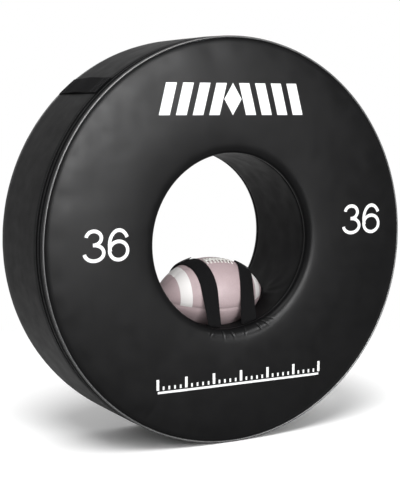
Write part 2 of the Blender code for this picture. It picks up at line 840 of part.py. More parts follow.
def build():
    clear_scene()
    vinyl = material("black_vinyl", (0.022, 0.022, 0.024), 0.42)
    piping = material("black_piping", (0.03, 0.03, 0.032), 0.38)
    foam = material("grey_foam", (0.35, 0.36, 0.38), 0.9)
    tape = material("zip_tape", (0.012, 0.012, 0.013), 0.8)
    coil = material("zip_coil", (0.02, 0.02, 0.022), 0.45)
    metal = material("dark_metal", (0.12, 0.12, 0.13), 0.35, 0.9)
    webbing = material("black_webbing", (0.01, 0.01, 0.011), 0.75)
    loop_pile = material("loop_pile", (0.015, 0.015, 0.016), 0.95)
    hook_pile = material("hook_pile", (0.018, 0.018, 0.02), 0.6)
    leather = material("pale_leather", (0.55, 0.42, 0.42), 0.55)
    lace = material("white_lace", (0.85, 0.84, 0.82), 0.6)
    rubber = material("black_rubber", (0.02, 0.02, 0.02), 0.7)

    make_foam(foam)
    make_cover(vinyl, piping)
    park = make_zip(tape, coil, metal)
    make_slider(park, metal)
    print("slider parks at", round(degrees(park), 4), "degrees")
    make_handles(webbing)
    ball = add_empty("ball_place", ball_centre, (radians(ball_roll), 0, 0))
    panels = make_ball_panels(leather, ball)
    make_bladder(rubber, ball, panels)
    make_laces(lace, ball)
    make_straps(webbing, loop_pile, hook_pile)


build()
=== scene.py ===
# Looks of the tackling wheel: the vinyl cover, its zip and handles, and the football strapped into the bore.
# Metres, +Z up. The wheel stands on its tread and its front faces -Y.

import bpy
import bmesh
from math import asin, atan2, copysign, cos, exp, hypot, pi, radians, sin, sqrt
from mathutils import Matrix, Vector, noise
from mathutils.bvhtree import BVHTree


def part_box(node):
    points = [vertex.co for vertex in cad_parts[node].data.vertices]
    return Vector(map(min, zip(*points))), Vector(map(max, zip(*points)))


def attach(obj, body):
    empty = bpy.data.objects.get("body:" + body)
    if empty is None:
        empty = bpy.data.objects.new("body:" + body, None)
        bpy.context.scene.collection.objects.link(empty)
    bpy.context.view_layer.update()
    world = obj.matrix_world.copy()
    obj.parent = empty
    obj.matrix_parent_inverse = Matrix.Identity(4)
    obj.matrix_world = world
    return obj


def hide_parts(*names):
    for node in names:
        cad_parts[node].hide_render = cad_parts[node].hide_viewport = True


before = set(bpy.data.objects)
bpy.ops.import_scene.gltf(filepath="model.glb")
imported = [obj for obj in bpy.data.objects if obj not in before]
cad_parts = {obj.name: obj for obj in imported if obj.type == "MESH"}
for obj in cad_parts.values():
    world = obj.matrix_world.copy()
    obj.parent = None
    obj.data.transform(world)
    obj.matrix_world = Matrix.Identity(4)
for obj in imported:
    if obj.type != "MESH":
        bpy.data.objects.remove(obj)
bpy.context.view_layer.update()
print("frame loaded:", len(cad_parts), "solids")

# Sizes that several pieces share
wheel = {
    "bore": 0.197, "halfWidth": 0.127, "crown": 0.0015, "rollWidth": 0.014, "rollDepth": 0.0045,
    "lip": 0.020, "lipHem": 0.004, "dish": 0.002, "dishReach": 0.11, "vinyl": 0.0013, "rimDraw": 0.003,
    "ease": 0.012, "piping": 0.0024, "gap": 0.0003, "solidSteps": 60, "slab": 0.254 / 6,
}
zipper = {
    "border": 0.009, "window": 0.024, "setback": 0.002, "tape": 0.0008, "tapeMargin": 0.006,
    "coilWidth": 0.003, "coilHeight": 0.0022, "chainGap": 0.0018, "firstStep": 9.5, "steps": 41,
    "stop": 0.004, "slider": 0.016,
}
ball = {
    "length": 0.28, "radius": 0.085, "tip": 0.006, "sink": 0.021, "shift": 0.002, "roll": 16,
    "leather": 0.0025,
}

treadLow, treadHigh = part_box("cover_tread_panel")
axleHeight = (treadLow.z + treadHigh.z) / 2
solidStep = 2 * pi / wheel["solidSteps"]
outerRadius = axleHeight / cos(solidStep / 2)
wheelCentre = Vector((0, 0, axleHeight))

faceEdge = wheel["halfWidth"] - wheel["crown"]
seamDepth = faceEdge - wheel["rollDepth"]
pipingLine = outerRadius - wheel["rimDraw"] - wheel["vinyl"] / 2
seamRadius = pipingLine - wheel["piping"] - wheel["gap"]
treadEdge = seamDepth - wheel["piping"] - wheel["gap"]
boreSeam = faceEdge - wheel["lip"] - wheel["lipHem"]
windowFront = -(treadEdge - zipper["border"])
windowRear = windowFront + zipper["window"]
chainLine = (windowFront + windowRear) / 2
tapeOuter = outerRadius - zipper["setback"] - wheel["vinyl"] - wheel["gap"]
tapeInner = tapeOuter - zipper["tape"]
coilInner = tapeOuter + wheel["gap"]
coilOuter = coilInner + zipper["coilHeight"]
zipStart = zipper["firstStep"] * solidStep
zipEnd = zipStart + zipper["steps"] * solidStep
zipSlip = wheel["gap"] / outerRadius
stopAngle = zipper["stop"] / outerRadius
parkAngle = zipStart + 4 * zipSlip + stopAngle + zipper["slider"] / outerRadius / 2

ballDrop = wheel["bore"] + ball["sink"] - ball["radius"]
ballCentre = Vector((ball["shift"], 0, axleHeight - ballDrop))
ballHalf = ball["length"] / 2
ballRise = ball["radius"] - ball["tip"]
arcRadius = (ballHalf ** 2 + ballRise ** 2) / (2 * ballRise)
arcOffset = arcRadius - ball["radius"]
ballPlace = Matrix.Translation(ballCentre) @ Matrix.Rotation(radians(ball["roll"]), 4, "X")


# Mesh building


def meshPiece(name, verts, faces, finish, body, stands=(), sharp=35, place=None):
    mesh = bpy.data.meshes.new(name)
    mesh.from_pydata([tuple(v) for v in verts], [], faces)
    mesh.update()
    mesh.shade_smooth()
    mesh.set_sharp_from_angle(angle=radians(sharp))
    mesh.materials.append(finish)
    if place is not None:
        mesh.transform(place)
    piece = bpy.data.objects.new(name, mesh)
    bpy.context.collection.objects.link(piece)
    if stands:
        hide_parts(*stands)
    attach(piece, body)
    return piece


def markPlaces(piece, places):  # each point's place along and across its strip, for the weave
    layer = piece.data.attributes.new("stripPlace", "FLOAT_VECTOR", "POINT")
    for spot, place in zip(layer.data, places):
        spot.vector = (place[0], place[1], 0)


def loft(rings, closed=False):  # quads between closed rings, capped unless the last meets the first
    verts = [point for ring in rings for point in ring]
    sides = len(rings[0])
    count = len(rings)
    faces = []
    for k in range(count if closed else count - 1):
        here = k * sides
        there = (k + 1) % count * sides
        for j in range(sides):
            nearest = (j + 1) % sides
            faces.append((here + j, here + nearest, there + nearest, there + j))
    if not closed:
        faces.append(tuple(range(sides))[::-1])
        faces.append(tuple(range((count - 1) * sides, count * sides)))
    return verts, faces


def facesOut(verts, faces):  # turns a closed surface so that its faces point out
    near = Vector(verts[faces[0][0]])
    volume = 0.0
    for face in faces:
        a = Vector(verts[face[0]]) - near
        for b, c in zip(face[1:], face[2:]):
            volume += a.dot((Vector(verts[b]) - near).cross(Vector(verts[c]) - near))
    return faces if volume > 0 else [face[::-1] for face in faces]


def addBody(verts, faces, rings):  # one more closed body in a piece that holds several
    more, ends = loft(rings)
    start = len(verts)
    verts.extend(more)
    faces.extend(tuple(start + corner for corner in face) for face in facesOut(more, ends))


def loftPiece(name, rings, finish, body, stands=(), closed=False, sharp=35, place=None, places=None):
    verts, faces = loft(rings, closed)
    piece = meshPiece(name, verts, facesOut(verts, faces), finish, body, stands, sharp, place)
    if places is not None:
        markPlaces(piece, [spot for ring in places for spot in ring])
    return piece


def sheetPiece(name, rows, finish, body, stands, inside):  # a closed layer that faces away from inside
    columns = len(rows[0])
    verts = [point for row in rows for point in row]
    faces = []
    for k in range(len(rows)):
        here = k * columns
        there = (k + 1) % len(rows) * columns
        for j in range(columns - 1):
            faces.append((here + j, here + j + 1, there + j + 1, there + j))
    middle = len(faces) // 2
    a, b, c = (Vector(verts[k]) for k in faces[middle][:3])
    if (b - a).cross(c - a).dot(a - inside(a)) < 0:
        faces = [face[::-1] for face in faces]
    return meshPiece(name, verts, faces, finish, body, stands)


def freeze(piece):  # leaves the shape that the modifiers made, and no modifier
    graph = bpy.context.evaluated_depsgraph_get()
    shaped = bpy.data.meshes.new_from_object(piece.evaluated_get(graph))
    piece.modifiers.clear()
    piece.data = shaped
    return piece


def thicken(piece, thickness):
    shell = piece.modifiers.new("thickness", "SOLIDIFY")
    shell.thickness = thickness
    shell.offset = -1
    shell.use_even_offset = True
    return freeze(piece)


def onWheel(radius, y, angle, floor=0.0):  # angle counts up from +X towards +Z, as the front shows it
    return Vector((radius * cos(angle), y, max(axleHeight + radius * sin(angle), floor)))


def outward(angle):
    return Vector((cos(angle), 0, sin(angle)))


def forward(angle):  # along the tread
    return Vector((-sin(angle), 0, cos(angle)))


def turnFrom(middle, angle):  # between half a turn back and half a turn on
    return (angle - middle + pi) % (2 * pi) - pi


def squared(wave, power):  # a cosine or sine that makes a circle square
    return copysign(abs(wave) ** power, wave)


def evenAngles(count, first=0.0, sweep=2 * pi):
    return [first + sweep * k / count for k in range(count)]


def denseAngles(coarse, dense, middle, half):  # a whole turn with more steps round one place
    angles = [middle - half + 2 * half * k / dense for k in range(dense)]
    rest = 2 * pi - 2 * half
    return angles + [middle + half + rest * k / coarse for k in range(coarse)]


# Cloth: panels are let settle over the foam, pinned at their seams

clothFeel = {"frames": 20, "pressure": 1.6, "stiffness": 30, "bending": 3, "damping": 20, "weight": 0.35}


def settle(piece, pinned, cap):
    rest = [v.co.copy() for v in piece.data.vertices]
    seams = piece.vertex_groups.new(name="seams")
    seams.add(pinned, 1.0, "REPLACE")
    cloth = piece.modifiers.new("settle", "CLOTH")
    feel = cloth.settings
    feel.vertex_group_mass = "seams"
    feel.mass = clothFeel["weight"]
    feel.quality = 6
    feel.effector_weights.gravity = 0
    feel.use_pressure = True
    feel.uniform_pressure_force = clothFeel["pressure"]
    feel.tension_stiffness = clothFeel["stiffness"]
    feel.compression_stiffness = clothFeel["stiffness"]
    feel.bending_stiffness = clothFeel["bending"]
    feel.tension_damping = clothFeel["damping"]
    cloth.point_cache.frame_start = 1
    cloth.point_cache.frame_end = clothFeel["frames"]
    for step in range(1, clothFeel["frames"] + 1):
        bpy.context.scene.frame_set(step)
    graph = bpy.context.evaluated_depsgraph_get()
    moved = [v.co.copy() for v in piece.evaluated_get(graph).data.vertices]
    piece.modifiers.clear()
    piece.vertex_groups.clear()
    farthest = 0.0
    for vertex, old, new in zip(piece.data.vertices, rest, moved):
        step = new - old
        farthest = max(farthest, step.length)
        vertex.co = old + step * (cap / (cap + step.length))  # a soft cap, so no plateau shows
    piece.data.update()
    bpy.context.scene.frame_set(1)
    print(piece.name, "settled, farthest move", round(farthest * 1000, 2), "mm before the cap")


# Finishes. Bump distances and texture sizes are real ones, in metres


def newFinish(name, colour, roughness, specular=0.5, metallic=0.0):
    finish = bpy.data.materials.new(name)
    finish.use_nodes = True
    shader = finish.node_tree.nodes["Principled BSDF"]
    shader.inputs["Base Color"].default_value = (*colour, 1)
    shader.inputs["Roughness"].default_value = roughness
    shader.inputs["Specular IOR Level"].default_value = specular
    shader.inputs["Metallic"].default_value = metallic
    return finish


def addNode(finish, kind, values=None, links=None, **settings):
    made = finish.node_tree.nodes.new("ShaderNode" + kind)
    for key, value in settings.items():
        setattr(made, key, value)
    for key, value in (values or {}).items():
        made.inputs[key].default_value = value
    for key, source in (links or {}).items():
        finish.node_tree.links.new(source, made.inputs[key])
    return made


def join(finish, socket, source):
    finish.node_tree.links.new(source, finish.node_tree.nodes["Principled BSDF"].inputs[socket])


def placeOf(finish, grain, strip=False):  # texture coordinates in units of the grain size
    if strip:
        source = addNode(finish, "Attribute", attribute_name="stripPlace").outputs["Vector"]
    else:
        source = addNode(finish, "TexCoord").outputs["Object"]
    along, across = grain if isinstance(grain, tuple) else (grain, grain)
    scale = (1 / along, 1 / across, 1 / (across if not strip else 1))
    mapped = addNode(finish, "Mapping", {"Scale": scale}, {"Vector": source})
    return mapped.outputs["Vector"]


def mottle(finish, size, low, high, detail=4.0):  # slow noise, spread from low to high
    cloud = addNode(finish, "TexNoise", {"Scale": 1.0, "Detail": detail}, {"Vector": placeOf(finish, size)})
    spread = addNode(finish, "MapRange", {"From Min": 0.3, "From Max": 0.7, "To Min": low, "To Max": high},
                     {"Value": cloud.outputs["Fac"]})
    return spread.outputs["Result"]


def tint(finish, amount, dark, pale):  # colour between two tones
    mix = addNode(finish, "Mix", data_type="RGBA")
    mix.inputs[6].default_value = (*dark, 1)
    mix.inputs[7].default_value = (*pale, 1)
    finish.node_tree.links.new(amount, mix.inputs[0])
    return mix.outputs[2]


def bump(finish, height, distance, strength=1.0, under=None):
    links = {"Height": height}
    if under is not None:
        links["Normal"] = under
    return addNode(finish, "Bump", {"Strength": strength, "Distance": distance}, links).outputs["Normal"]


def calc(finish, operation, first, second=None):
    made = addNode(finish, "Math", operation=operation)
    for socket, value in zip(made.inputs, (first, second)):
        if value is None:
            continue
        if isinstance(value, (int, float)):
            socket.default_value = value
        else:
            finish.node_tree.links.new(value, socket)
    return made.outputs[0]


vinylLook = {
    "dark": (0.0022, 0.0022, 0.0024), "pale": (0.0040, 0.0040, 0.0043), "rough": (0.33, 0.40),
    "specular": 0.055, "grain": 0.0011, "grainHeight": 0.00006, "cloud": 0.09, "wave": 0.16,
    "waveHeight": 0.0012,
}
treadLook = {**vinylLook, "rough": (0.50, 0.58)}  # handled more, so duller
boreLook = {**vinylLook, "rough": (0.46, 0.56), "specular": 0.05}


def makeVinyl(name, look):
    vinyl = newFinish(name, look["dark"], look["rough"][0], look["specular"])
    join(vinyl, "Base Color", tint(vinyl, mottle(vinyl, look["cloud"], 0.0, 1.0), look["dark"], look["pale"]))
    join(vinyl, "Roughness", mottle(vinyl, look["cloud"] / 3, *look["rough"]))
    pores = addNode(vinyl, "TexVoronoi", {"Scale": 1.0}, {"Vector": placeOf(vinyl, look["grain"])},
                    feature="SMOOTH_F1")
    wave = addNode(vinyl, "TexNoise", {"Scale": 1.0, "Detail": 1.0}, {"Vector": placeOf(vinyl, look["wave"])})
    soft = bump(vinyl, wave.outputs["Fac"], look["waveHeight"], 0.5)
    join(vinyl, "Normal", bump(vinyl, pores.outputs["Distance"], look["grainHeight"], 0.5, soft))
    return vinyl


# In webbingLook, dark is painted shade where the yarns dip under the crossing ones; pale is the yarn on top
webbingLook = {
    "dark": (0.0018, 0.0018, 0.002), "pale": (0.0065, 0.0065, 0.007), "rough": 0.9, "specular": 0.04,
    "rib": 0.0021, "yarn": 0.0014, "height": 0.00035,
}


def yarnWaves(finish, split):  # one wave along the strip and one across
    return [calc(finish, "SINE", calc(finish, "MULTIPLY", split.outputs[axis], pi)) for axis in "XY"]


def makeWebbing(name, look):  # flat webbing: yarns that pass over and under, seen as a fine basket weave
    webbing = newFinish(name, look["dark"], look["rough"], look["specular"])
    place = placeOf(webbing, (look["rib"], look["yarn"]), strip=True)
    split = addNode(webbing, "SeparateXYZ", None, {"Vector": place})
    along, across = (calc(webbing, "ABSOLUTE", wave) for wave in yarnWaves(webbing, split))
    check = addNode(webbing, "TexChecker", {"Scale": 1.0}, {"Vector": place})
    weave = addNode(webbing, "Mix", None, None, data_type="FLOAT")
    for socket, source in zip((0, 2, 3), (check.outputs["Fac"], along, across)):
        webbing.node_tree.links.new(source, weave.inputs[socket])
    height = weave.outputs[0]
    # painted shade: the yarns are painted darker where they dip under, following the same weave height as the
    # bump
    join(webbing, "Base Color", tint(webbing, height, look["dark"], look["pale"]))
    fuzz = mottle(webbing, look["yarn"] / 2, 0.0, 0.3)
    join(webbing, "Normal", bump(webbing, calc(webbing, "ADD", height, fuzz), look["height"], 0.7))
    return webbing


foamLook = {"dark": (0.16, 0.165, 0.18), "pale": (0.34, 0.35, 0.37), "rough": 0.95, "cell": 0.0022}


def makeFoam(name, look):
    foam = newFinish(name, look["pale"], look["rough"], 0.2)
    cells = addNode(foam, "TexVoronoi", {"Scale": 1.0}, {"Vector": placeOf(foam, look["cell"])})
    pits = cells.outputs["Distance"]
    join(foam, "Base Color", tint(foam, pits, look["pale"], look["dark"]))
    join(foam, "Normal", bump(foam, pits, look["cell"] / 3, 0.8))
    return foam


# In leatherLook, dark is reached where the grooves between the pebbles get painted shade, and where the
# random wear mottle falls
leatherLook = {
    "pale": (0.43, 0.335, 0.345), "dark": (0.35, 0.27, 0.28), "stripe": (0.72, 0.70, 0.69),
    "rough": (0.46, 0.62), "pebble": 0.0021, "height": 0.00028, "cloud": 0.05,
    "leftStripe": (-0.100, -0.077), "rightStripe": (0.094, 0.117),
}


def makeLeather(name, look):  # pebbled leather, with painted stripes round both ends where the panel has them
    leather = newFinish(name, look["pale"], look["rough"][0], 0.2)
    pebbles = addNode(leather, "TexVoronoi", {"Scale": 1.0, "Randomness": 0.9},
                      {"Vector": placeOf(leather, look["pebble"])}, feature="SMOOTH_F1")
    valley = calc(leather, "MULTIPLY", pebbles.outputs["Distance"], 1.2)
    worn = mottle(leather, look["cloud"], 0.0, 0.45)
    # painted shade: the grooves between the pebbles are painted darker, and a slow random wear mottle is
    # added on top
    shade = calc(leather, "ADD", calc(leather, "MULTIPLY", valley, 0.5), worn)
    plain = tint(leather, shade, look["pale"], look["dark"])
    along = addNode(leather, "Attribute", attribute_name="stripPlace")
    x = addNode(leather, "SeparateXYZ", None, {"Vector": along.outputs["Vector"]})
    painted = None
    for low, high in (look["leftStripe"], look["rightStripe"]):
        inside = calc(leather, "MULTIPLY", calc(leather, "GREATER_THAN", x.outputs["X"], low),
                      calc(leather, "LESS_THAN", x.outputs["X"], high))
        painted = inside if painted is None else calc(leather, "ADD", painted, inside)
    stripe = calc(leather, "MULTIPLY", painted, x.outputs["Y"])
    mix = addNode(leather, "Mix", None, None, data_type="RGBA")
    mix.inputs[7].default_value = (*look["stripe"], 1)
    leather.node_tree.links.new(stripe, mix.inputs[0])
    leather.node_tree.links.new(plain, mix.inputs[6])
    join(leather, "Base Color", mix.outputs[2])
    join(leather, "Roughness", mottle(leather, look["cloud"] / 4, *look["rough"]))
    join(leather, "Normal", bump(leather, calc(leather, "MULTIPLY", valley, -1.0), look["height"], 0.8))
    return leather


# In laceLook and tapeLook, dark is painted shade between the yarn crossings; pale is the yarn on top
laceLook = {"pale": (0.84, 0.83, 0.80), "dark": (0.62, 0.60, 0.57), "rough": 0.6, "yarn": 0.0011,
            "height": 0.0002}
tapeLook = {"pale": (0.008, 0.008, 0.0085), "dark": (0.003, 0.003, 0.0033), "rough": 0.85, "yarn": 0.0009,
            "height": 0.00015}


def makeWoven(name, look, strip):  # fine plain weave: two sets of yarns at right angles
    cloth = newFinish(name, look["pale"], look["rough"], 0.05)
    place = placeOf(cloth, look["yarn"], strip)
    split = addNode(cloth, "SeparateXYZ", None, {"Vector": place})
    weave = calc(cloth, "ABSOLUTE", calc(cloth, "MULTIPLY", *yarnWaves(cloth, split)))
    # painted shade: the weave is painted darker where it is low between the yarns, following the same height
    # as the bump
    join(cloth, "Base Color", tint(cloth, weave, look["dark"], look["pale"]))
    join(cloth, "Normal", bump(cloth, weave, look["height"], 0.8))
    return cloth


plasticLook = {"pale": (0.014, 0.014, 0.015), "dark": (0.007, 0.007, 0.0075), "rough": (0.34, 0.5),
               "cloud": 0.004, "height": 0.00004}
rubberLook = {"pale": (0.03, 0.03, 0.03), "dark": (0.012, 0.012, 0.012), "rough": (0.6, 0.8), "cloud": 0.003,
              "height": 0.00005}
threadLook = {"pale": (0.055, 0.055, 0.058), "dark": (0.018, 0.018, 0.02), "rough": (0.5, 0.7),
              "cloud": 0.0008, "height": 0.0001}
printLook = {"pale": (0.88, 0.88, 0.88), "dark": (0.80, 0.80, 0.80), "rough": (0.4, 0.52), "cloud": 0.01,
             "height": 0.00003}
pileLook = {"pale": (0.03, 0.03, 0.032), "dark": (0.006, 0.006, 0.007), "rough": (0.85, 0.95),
            "cloud": 0.0009, "height": 0.0004}
hookLook = {"pale": (0.02, 0.02, 0.022), "dark": (0.01, 0.01, 0.011), "rough": (0.4, 0.55), "cloud": 0.0015,
            "height": 0.0001}


def makeMoulded(name, look, specular=0.5):
    moulded = newFinish(name, look["pale"], look["rough"][0], specular)
    join(moulded, "Base Color",
         tint(moulded, mottle(moulded, look["cloud"], 0.0, 1.0), look["dark"], look["pale"]))
    join(moulded, "Roughness", mottle(moulded, look["cloud"] * 2, *look["rough"]))
    speckle = addNode(moulded, "TexNoise", {"Scale": 1.0}, {"Vector": placeOf(moulded, look["cloud"] / 2)})
    join(moulded, "Normal", bump(moulded, speckle.outputs["Fac"], look["height"], 0.6))
    return moulded


metalLook = {"paint": (0.018, 0.018, 0.02), "bare": (0.42, 0.41, 0.39), "rough": (0.3, 0.46),
             "wear": (0.56, 0.66), "chip": 0.0012, "chipDepth": 0.05, "cloud": 0.002}


def makeMetal(name, look):  # black lacquer that has worn through at the edges
    metal = newFinish(name, look["paint"], look["rough"][0], 0.5, 0.9)
    edge = addNode(metal, "NewGeometry").outputs["Pointiness"]
    ragged = calc(metal, "MULTIPLY", mottle(metal, look["chip"], -1.0, 1.0), look["chipDepth"])
    chips = calc(metal, "ADD", edge, ragged)
    worn = addNode(metal, "MapRange", {"From Min": look["wear"][0], "From Max": look["wear"][1]},
                   {"Value": chips})
    join(metal, "Base Color", tint(metal, worn.outputs["Result"], look["paint"], look["bare"]))
    join(metal, "Roughness", mottle(metal, look["cloud"], *look["rough"]))
    return metal


vinyl = makeVinyl("blackVinyl", vinylLook)
treadVinyl = makeVinyl("treadVinyl", treadLook)
boreVinyl = makeVinyl("boreVinyl", boreLook)
piping = makeMoulded("blackPiping", plasticLook)
webbing = makeWebbing("blackWebbing", webbingLook)
foam = makeFoam("greyFoam", foamLook)
leather = makeLeather("ballLeather", leatherLook)
lace = makeWoven("whiteLace", laceLook, False)
tape = makeWoven("zipTapeWeave", tapeLook, True)
coil = makeMoulded("zipCoilNylon", plasticLook, 0.12)
rubber = makeMoulded("blackRubber", rubberLook)
thread = makeMoulded("blackThread", threadLook, 0.3)
printInk = makeMoulded("whitePrint", printLook, 0.3)
pile = makeMoulded("loopPile", pileLook, 0.1)
hooks = makeMoulded("hookPile", hookLook)
metal = makeMetal("blackLacquer", metalLook)
print("finishes made")


# The football's shape and the hollow it presses into the bore


def ballProfile(x, padding=0.0):
    under = (arcRadius + padding) ** 2 - x ** 2
    return sqrt(under) - arcOffset if under > arcOffset ** 2 else 0.0


cradle = {"clearance": 0.00176, "round": 0.006, "below": -0.3, "within": 0.09}


def ballExit(angle, y):  # where a ray from the axle line leaves the padded football, or 0 if it misses
    near = ball["shift"] * cos(angle) - ballDrop * sin(angle)
    if near <= 0:
        return 0.0

    def outside(reach):
        across = reach * cos(angle) - ball["shift"]
        up = reach * sin(angle) + ballDrop
        return hypot(y, up) - ballProfile(across, cradle["clearance"])

    if outside(near) >= 0:
        return 0.0
    low, high = near, near + ball["length"]
    for _ in range(24):
        middle = (low + high) / 2
        if outside(middle) < 0:
            low = middle
        else:
            high = middle
    return high


def pressed(angle, y):  # how deep the wall is pressed in, with a rounded edge
    if sin(angle) > cradle["below"] or abs(y) > cradle["within"]:
        return 0.0
    depth = ballExit(angle, y) - wheel["bore"]
    if depth <= -cradle["round"]:
        return 0.0
    if depth >= cradle["round"]:
        return depth
    return (depth + cradle["round"]) ** 2 / (4 * cradle["round"])


# Straps: the upright plane in which one strap crosses the football

strap = {
    "width": 0.035, "thickness": 0.0016, "foot": 0.014, "footInset": 0.0015, "baseInset": 0.004,
    "baseGap": 0.0006, "seat": 0.0010, "layerGap": 0.0003, "fastener": 0.0009, "patchMargin": 0.002,
    "footStitches": (0.0025, 0.0065), "stitchMargin": 0.003,
    "startShare": 0.26, "endShare": 0.9, "patchShares": (0.28, 0.84),
    "left": (-0.036, -0.048), "right": (0.053, 0.092),  # x of the feet and of the crown
}


class StrapLine:
    def __init__(self, feet):
        footX, self.crownX = feet
        self.footY = boreSeam - strap["baseInset"]
        self.skew = atan2(self.crownX - footX, self.footY)
        self.reach = hypot(self.crownX - footX, self.footY)

    def plan(self, along, aside):
        x = self.crownX + along * sin(self.skew) + aside * cos(self.skew)
        return x, along * cos(self.skew) - aside * sin(self.skew)

    def turnAt(self, along, aside, padding):
        x, y = self.plan(along, aside)
        return asin(y / ballProfile(x - ballCentre.x, padding))

    def alongAt(self, turn, aside, padding):
        along = 0
        for _ in range(10):
            x = self.plan(along, aside)[0]
            y = ballProfile(x - ballCentre.x, padding) * sin(turn)
            along = (y + aside * sin(self.skew)) / cos(self.skew)
        return along

    def ballTop(self, along, aside, padding):
        x, y = self.plan(along, aside)
        radius = ballProfile(x - ballCentre.x, padding)
        return None if radius <= abs(y) else ballCentre.z + sqrt(radius ** 2 - y ** 2)

    def footTop(self, along, aside):
        x = self.plan(along, aside)[0]
        wall = wheel["bore"] - wheel["gap"] - strap["thickness"] - strap["baseGap"]
        return axleHeight - sqrt(wall ** 2 - x ** 2)

    def touch(self, side, aside, padding, out):  # where a taut line from the foot first touches the football
        base = side * (self.reach + out)
        low = self.footTop(side * self.reach, aside)
        best = None
        for k in range(240):
            along = side * self.reach * k / 240
            top = self.ballTop(along, aside, padding)
            if top is None:
                break
            slope = (top - low) / abs(base - along)
            if best is None or slope > best[0]:
                best = (slope, along)
        return best[1]

    def station(self, along, aside, padding):
        x, y = self.plan(along, aside)
        return Vector((x, y, self.ballTop(along, aside, padding)))

    def foot(self, side, aside, out):
        x, y = self.plan(side * (self.reach + out), aside)
        return Vector((x, y, self.footTop(side * self.reach, aside)))


# The cover's side faces: roll at the rim, slight crown, rounded lip at the bore

face = {
    "rollSteps": 9, "crownSteps": 30, "crownEasing": 1.4, "lipSteps": 14, "coarse": 150, "dense": 200,
    "denseHalf": 36, "undulation": 0.0005, "undulationSize": 0.085, "pucker": 0.00045, "puckerSize": 0.011,
    "puckerReach": 0.010, "cap": 0.0016, "seamDip": 0.0011, "seamReach": 0.0035,
    "held": 0.004, "floor": 0.0015, "shuffle": 0.7,
}


def faceLine(inset=0.0):  # (radius, depth from the middle plane) from the rim seam to the bore seam
    line = []
    for k in range(face["rollSteps"]):
        turn = pi / 2 * k / face["rollSteps"]
        line.append((seamRadius - wheel["rollWidth"] + (wheel["rollWidth"] - inset) * cos(turn),
                     seamDepth + (wheel["rollDepth"] - inset) * sin(turn)))
    outer, inner = seamRadius - wheel["rollWidth"], wheel["bore"] + wheel["lip"]
    for k in range(face["crownSteps"]):
        share = 1 - (1 - k / face["crownSteps"]) ** face["crownEasing"]  # closer together near the lip
        radius = outer + (inner - outer) * share
        sunk = max(0.0, 1 - (radius - inner) / wheel["dishReach"]) ** 2 * wheel["dish"]
        line.append((radius, faceEdge - inset - sunk + wheel["crown"] * 4 * share * (1 - share)))
    for k in range(face["lipSteps"] + 1):
        turn = pi / 2 * k / face["lipSteps"]
        reach = wheel["lip"] - inset
        line.append((inner - reach * sin(turn),
                     faceEdge - wheel["lip"] + (reach - wheel["dish"]) * cos(turn)))
    line.append((wheel["bore"] + inset, boreSeam))
    return line


footAngles = {hand: -pi / 2 + asin(strap[hand][0] / wheel["bore"]) for hand in ("left", "right")}


# Short folds where the straps pull on the lip: (metres along the lip from the foot's middle, lean, strength)
creases = {"width": 0.0030, "depth": 0.0013, "middle": 0.022, "reach": 0.011,
           "left": ((-0.010, -0.3, 0.8), (0.006, 0.2, 1.0), (0.021, 0.5, 0.6)),
           "right": ((-0.020, -0.2, 0.6), (0.004, 0.3, 1.0), (0.015, 0.6, 0.9), (0.026, 0.9, 0.6))}


def crease(angle, fromSeam, radius):
    depth = 0.0
    for hand, middle in footAngles.items():
        for along, lean, strength in creases[hand]:
            edge = middle + (along + lean * fromSeam) / wheel["bore"]
            q = turnFrom(edge, angle) * radius / creases["width"]
            if abs(q) < 4:
                depth += strength * (1 - 1.2 * q * q) * exp(-q * q)
    return -creases["depth"] * depth * exp(-((fromSeam - creases["middle"]) / creases["reach"]) ** 2)


def makeFace(name, side, node):
    line = faceLine()
    lengths = [0.0]
    for a, b in zip(line, line[1:]):
        lengths.append(lengths[-1] + hypot(b[0] - a[0], b[1] - a[1]))
    total = lengths[-1]
    angles = denseAngles(face["coarse"], face["dense"], -pi / 2, radians(face["denseHalf"]))
    rows = []
    for angle in angles:
        row = []
        for k, (radius, depth) in enumerate(line):
            before, after = line[max(k - 1, 0)], line[min(k + 1, len(line) - 1)]
            run = Vector((after[0] - before[0], after[1] - before[1])).normalized()
            out = Vector((run.y, -run.x))  # away from the foam, in (radius, depth)
            at = Vector((radius * cos(angle), radius * sin(angle), side * face["shuffle"]))
            held = min(1.0, lengths[k] / face["held"], (total - lengths[k]) / face["held"])
            push = face["undulation"] * noise.noise(at / face["undulationSize"]) * held
            gather = exp(-lengths[k] / face["puckerReach"])
            push += face["pucker"] * noise.noise(at / face["puckerSize"]) * gather
            push += crease(angle, total - lengths[k], radius) * held
            push -= face["seamDip"] * exp(-((total - lengths[k]) / face["seamReach"]) ** 2)
            row.append(onWheel(radius + out.x * push, side * (depth + out.y * push), angle, face["floor"]))
        rows.append(row)
    panel = sheetPiece(name, rows, vinyl, "wheel", (node,), lambda p: Vector((p.x, 0, p.z)))
    columns = len(line)
    pinned = [r * columns + c for r in range(len(angles)) for c in (0, 1, columns - 2, columns - 1)]
    settle(panel, pinned, face["cap"])
    thicken(panel, wheel["vinyl"])
    return panel


frontFace = makeFace("frontFacePanel", -1, "cover_front_panel")
makeFace("rearFacePanel", 1, "cover_rear_panel")
print("side faces made")


# Tread: the wide band, the narrow border in front of the zip and the closing strip between the zip's ends

tread = {"steps": 360, "wave": 0.0004, "waveSize": 0.07, "pucker": 0.0004, "puckerSize": 0.010,
         "reach": 0.012, "held": 0.006, "waveBias": 0.4, "puckerBias": 0.3}


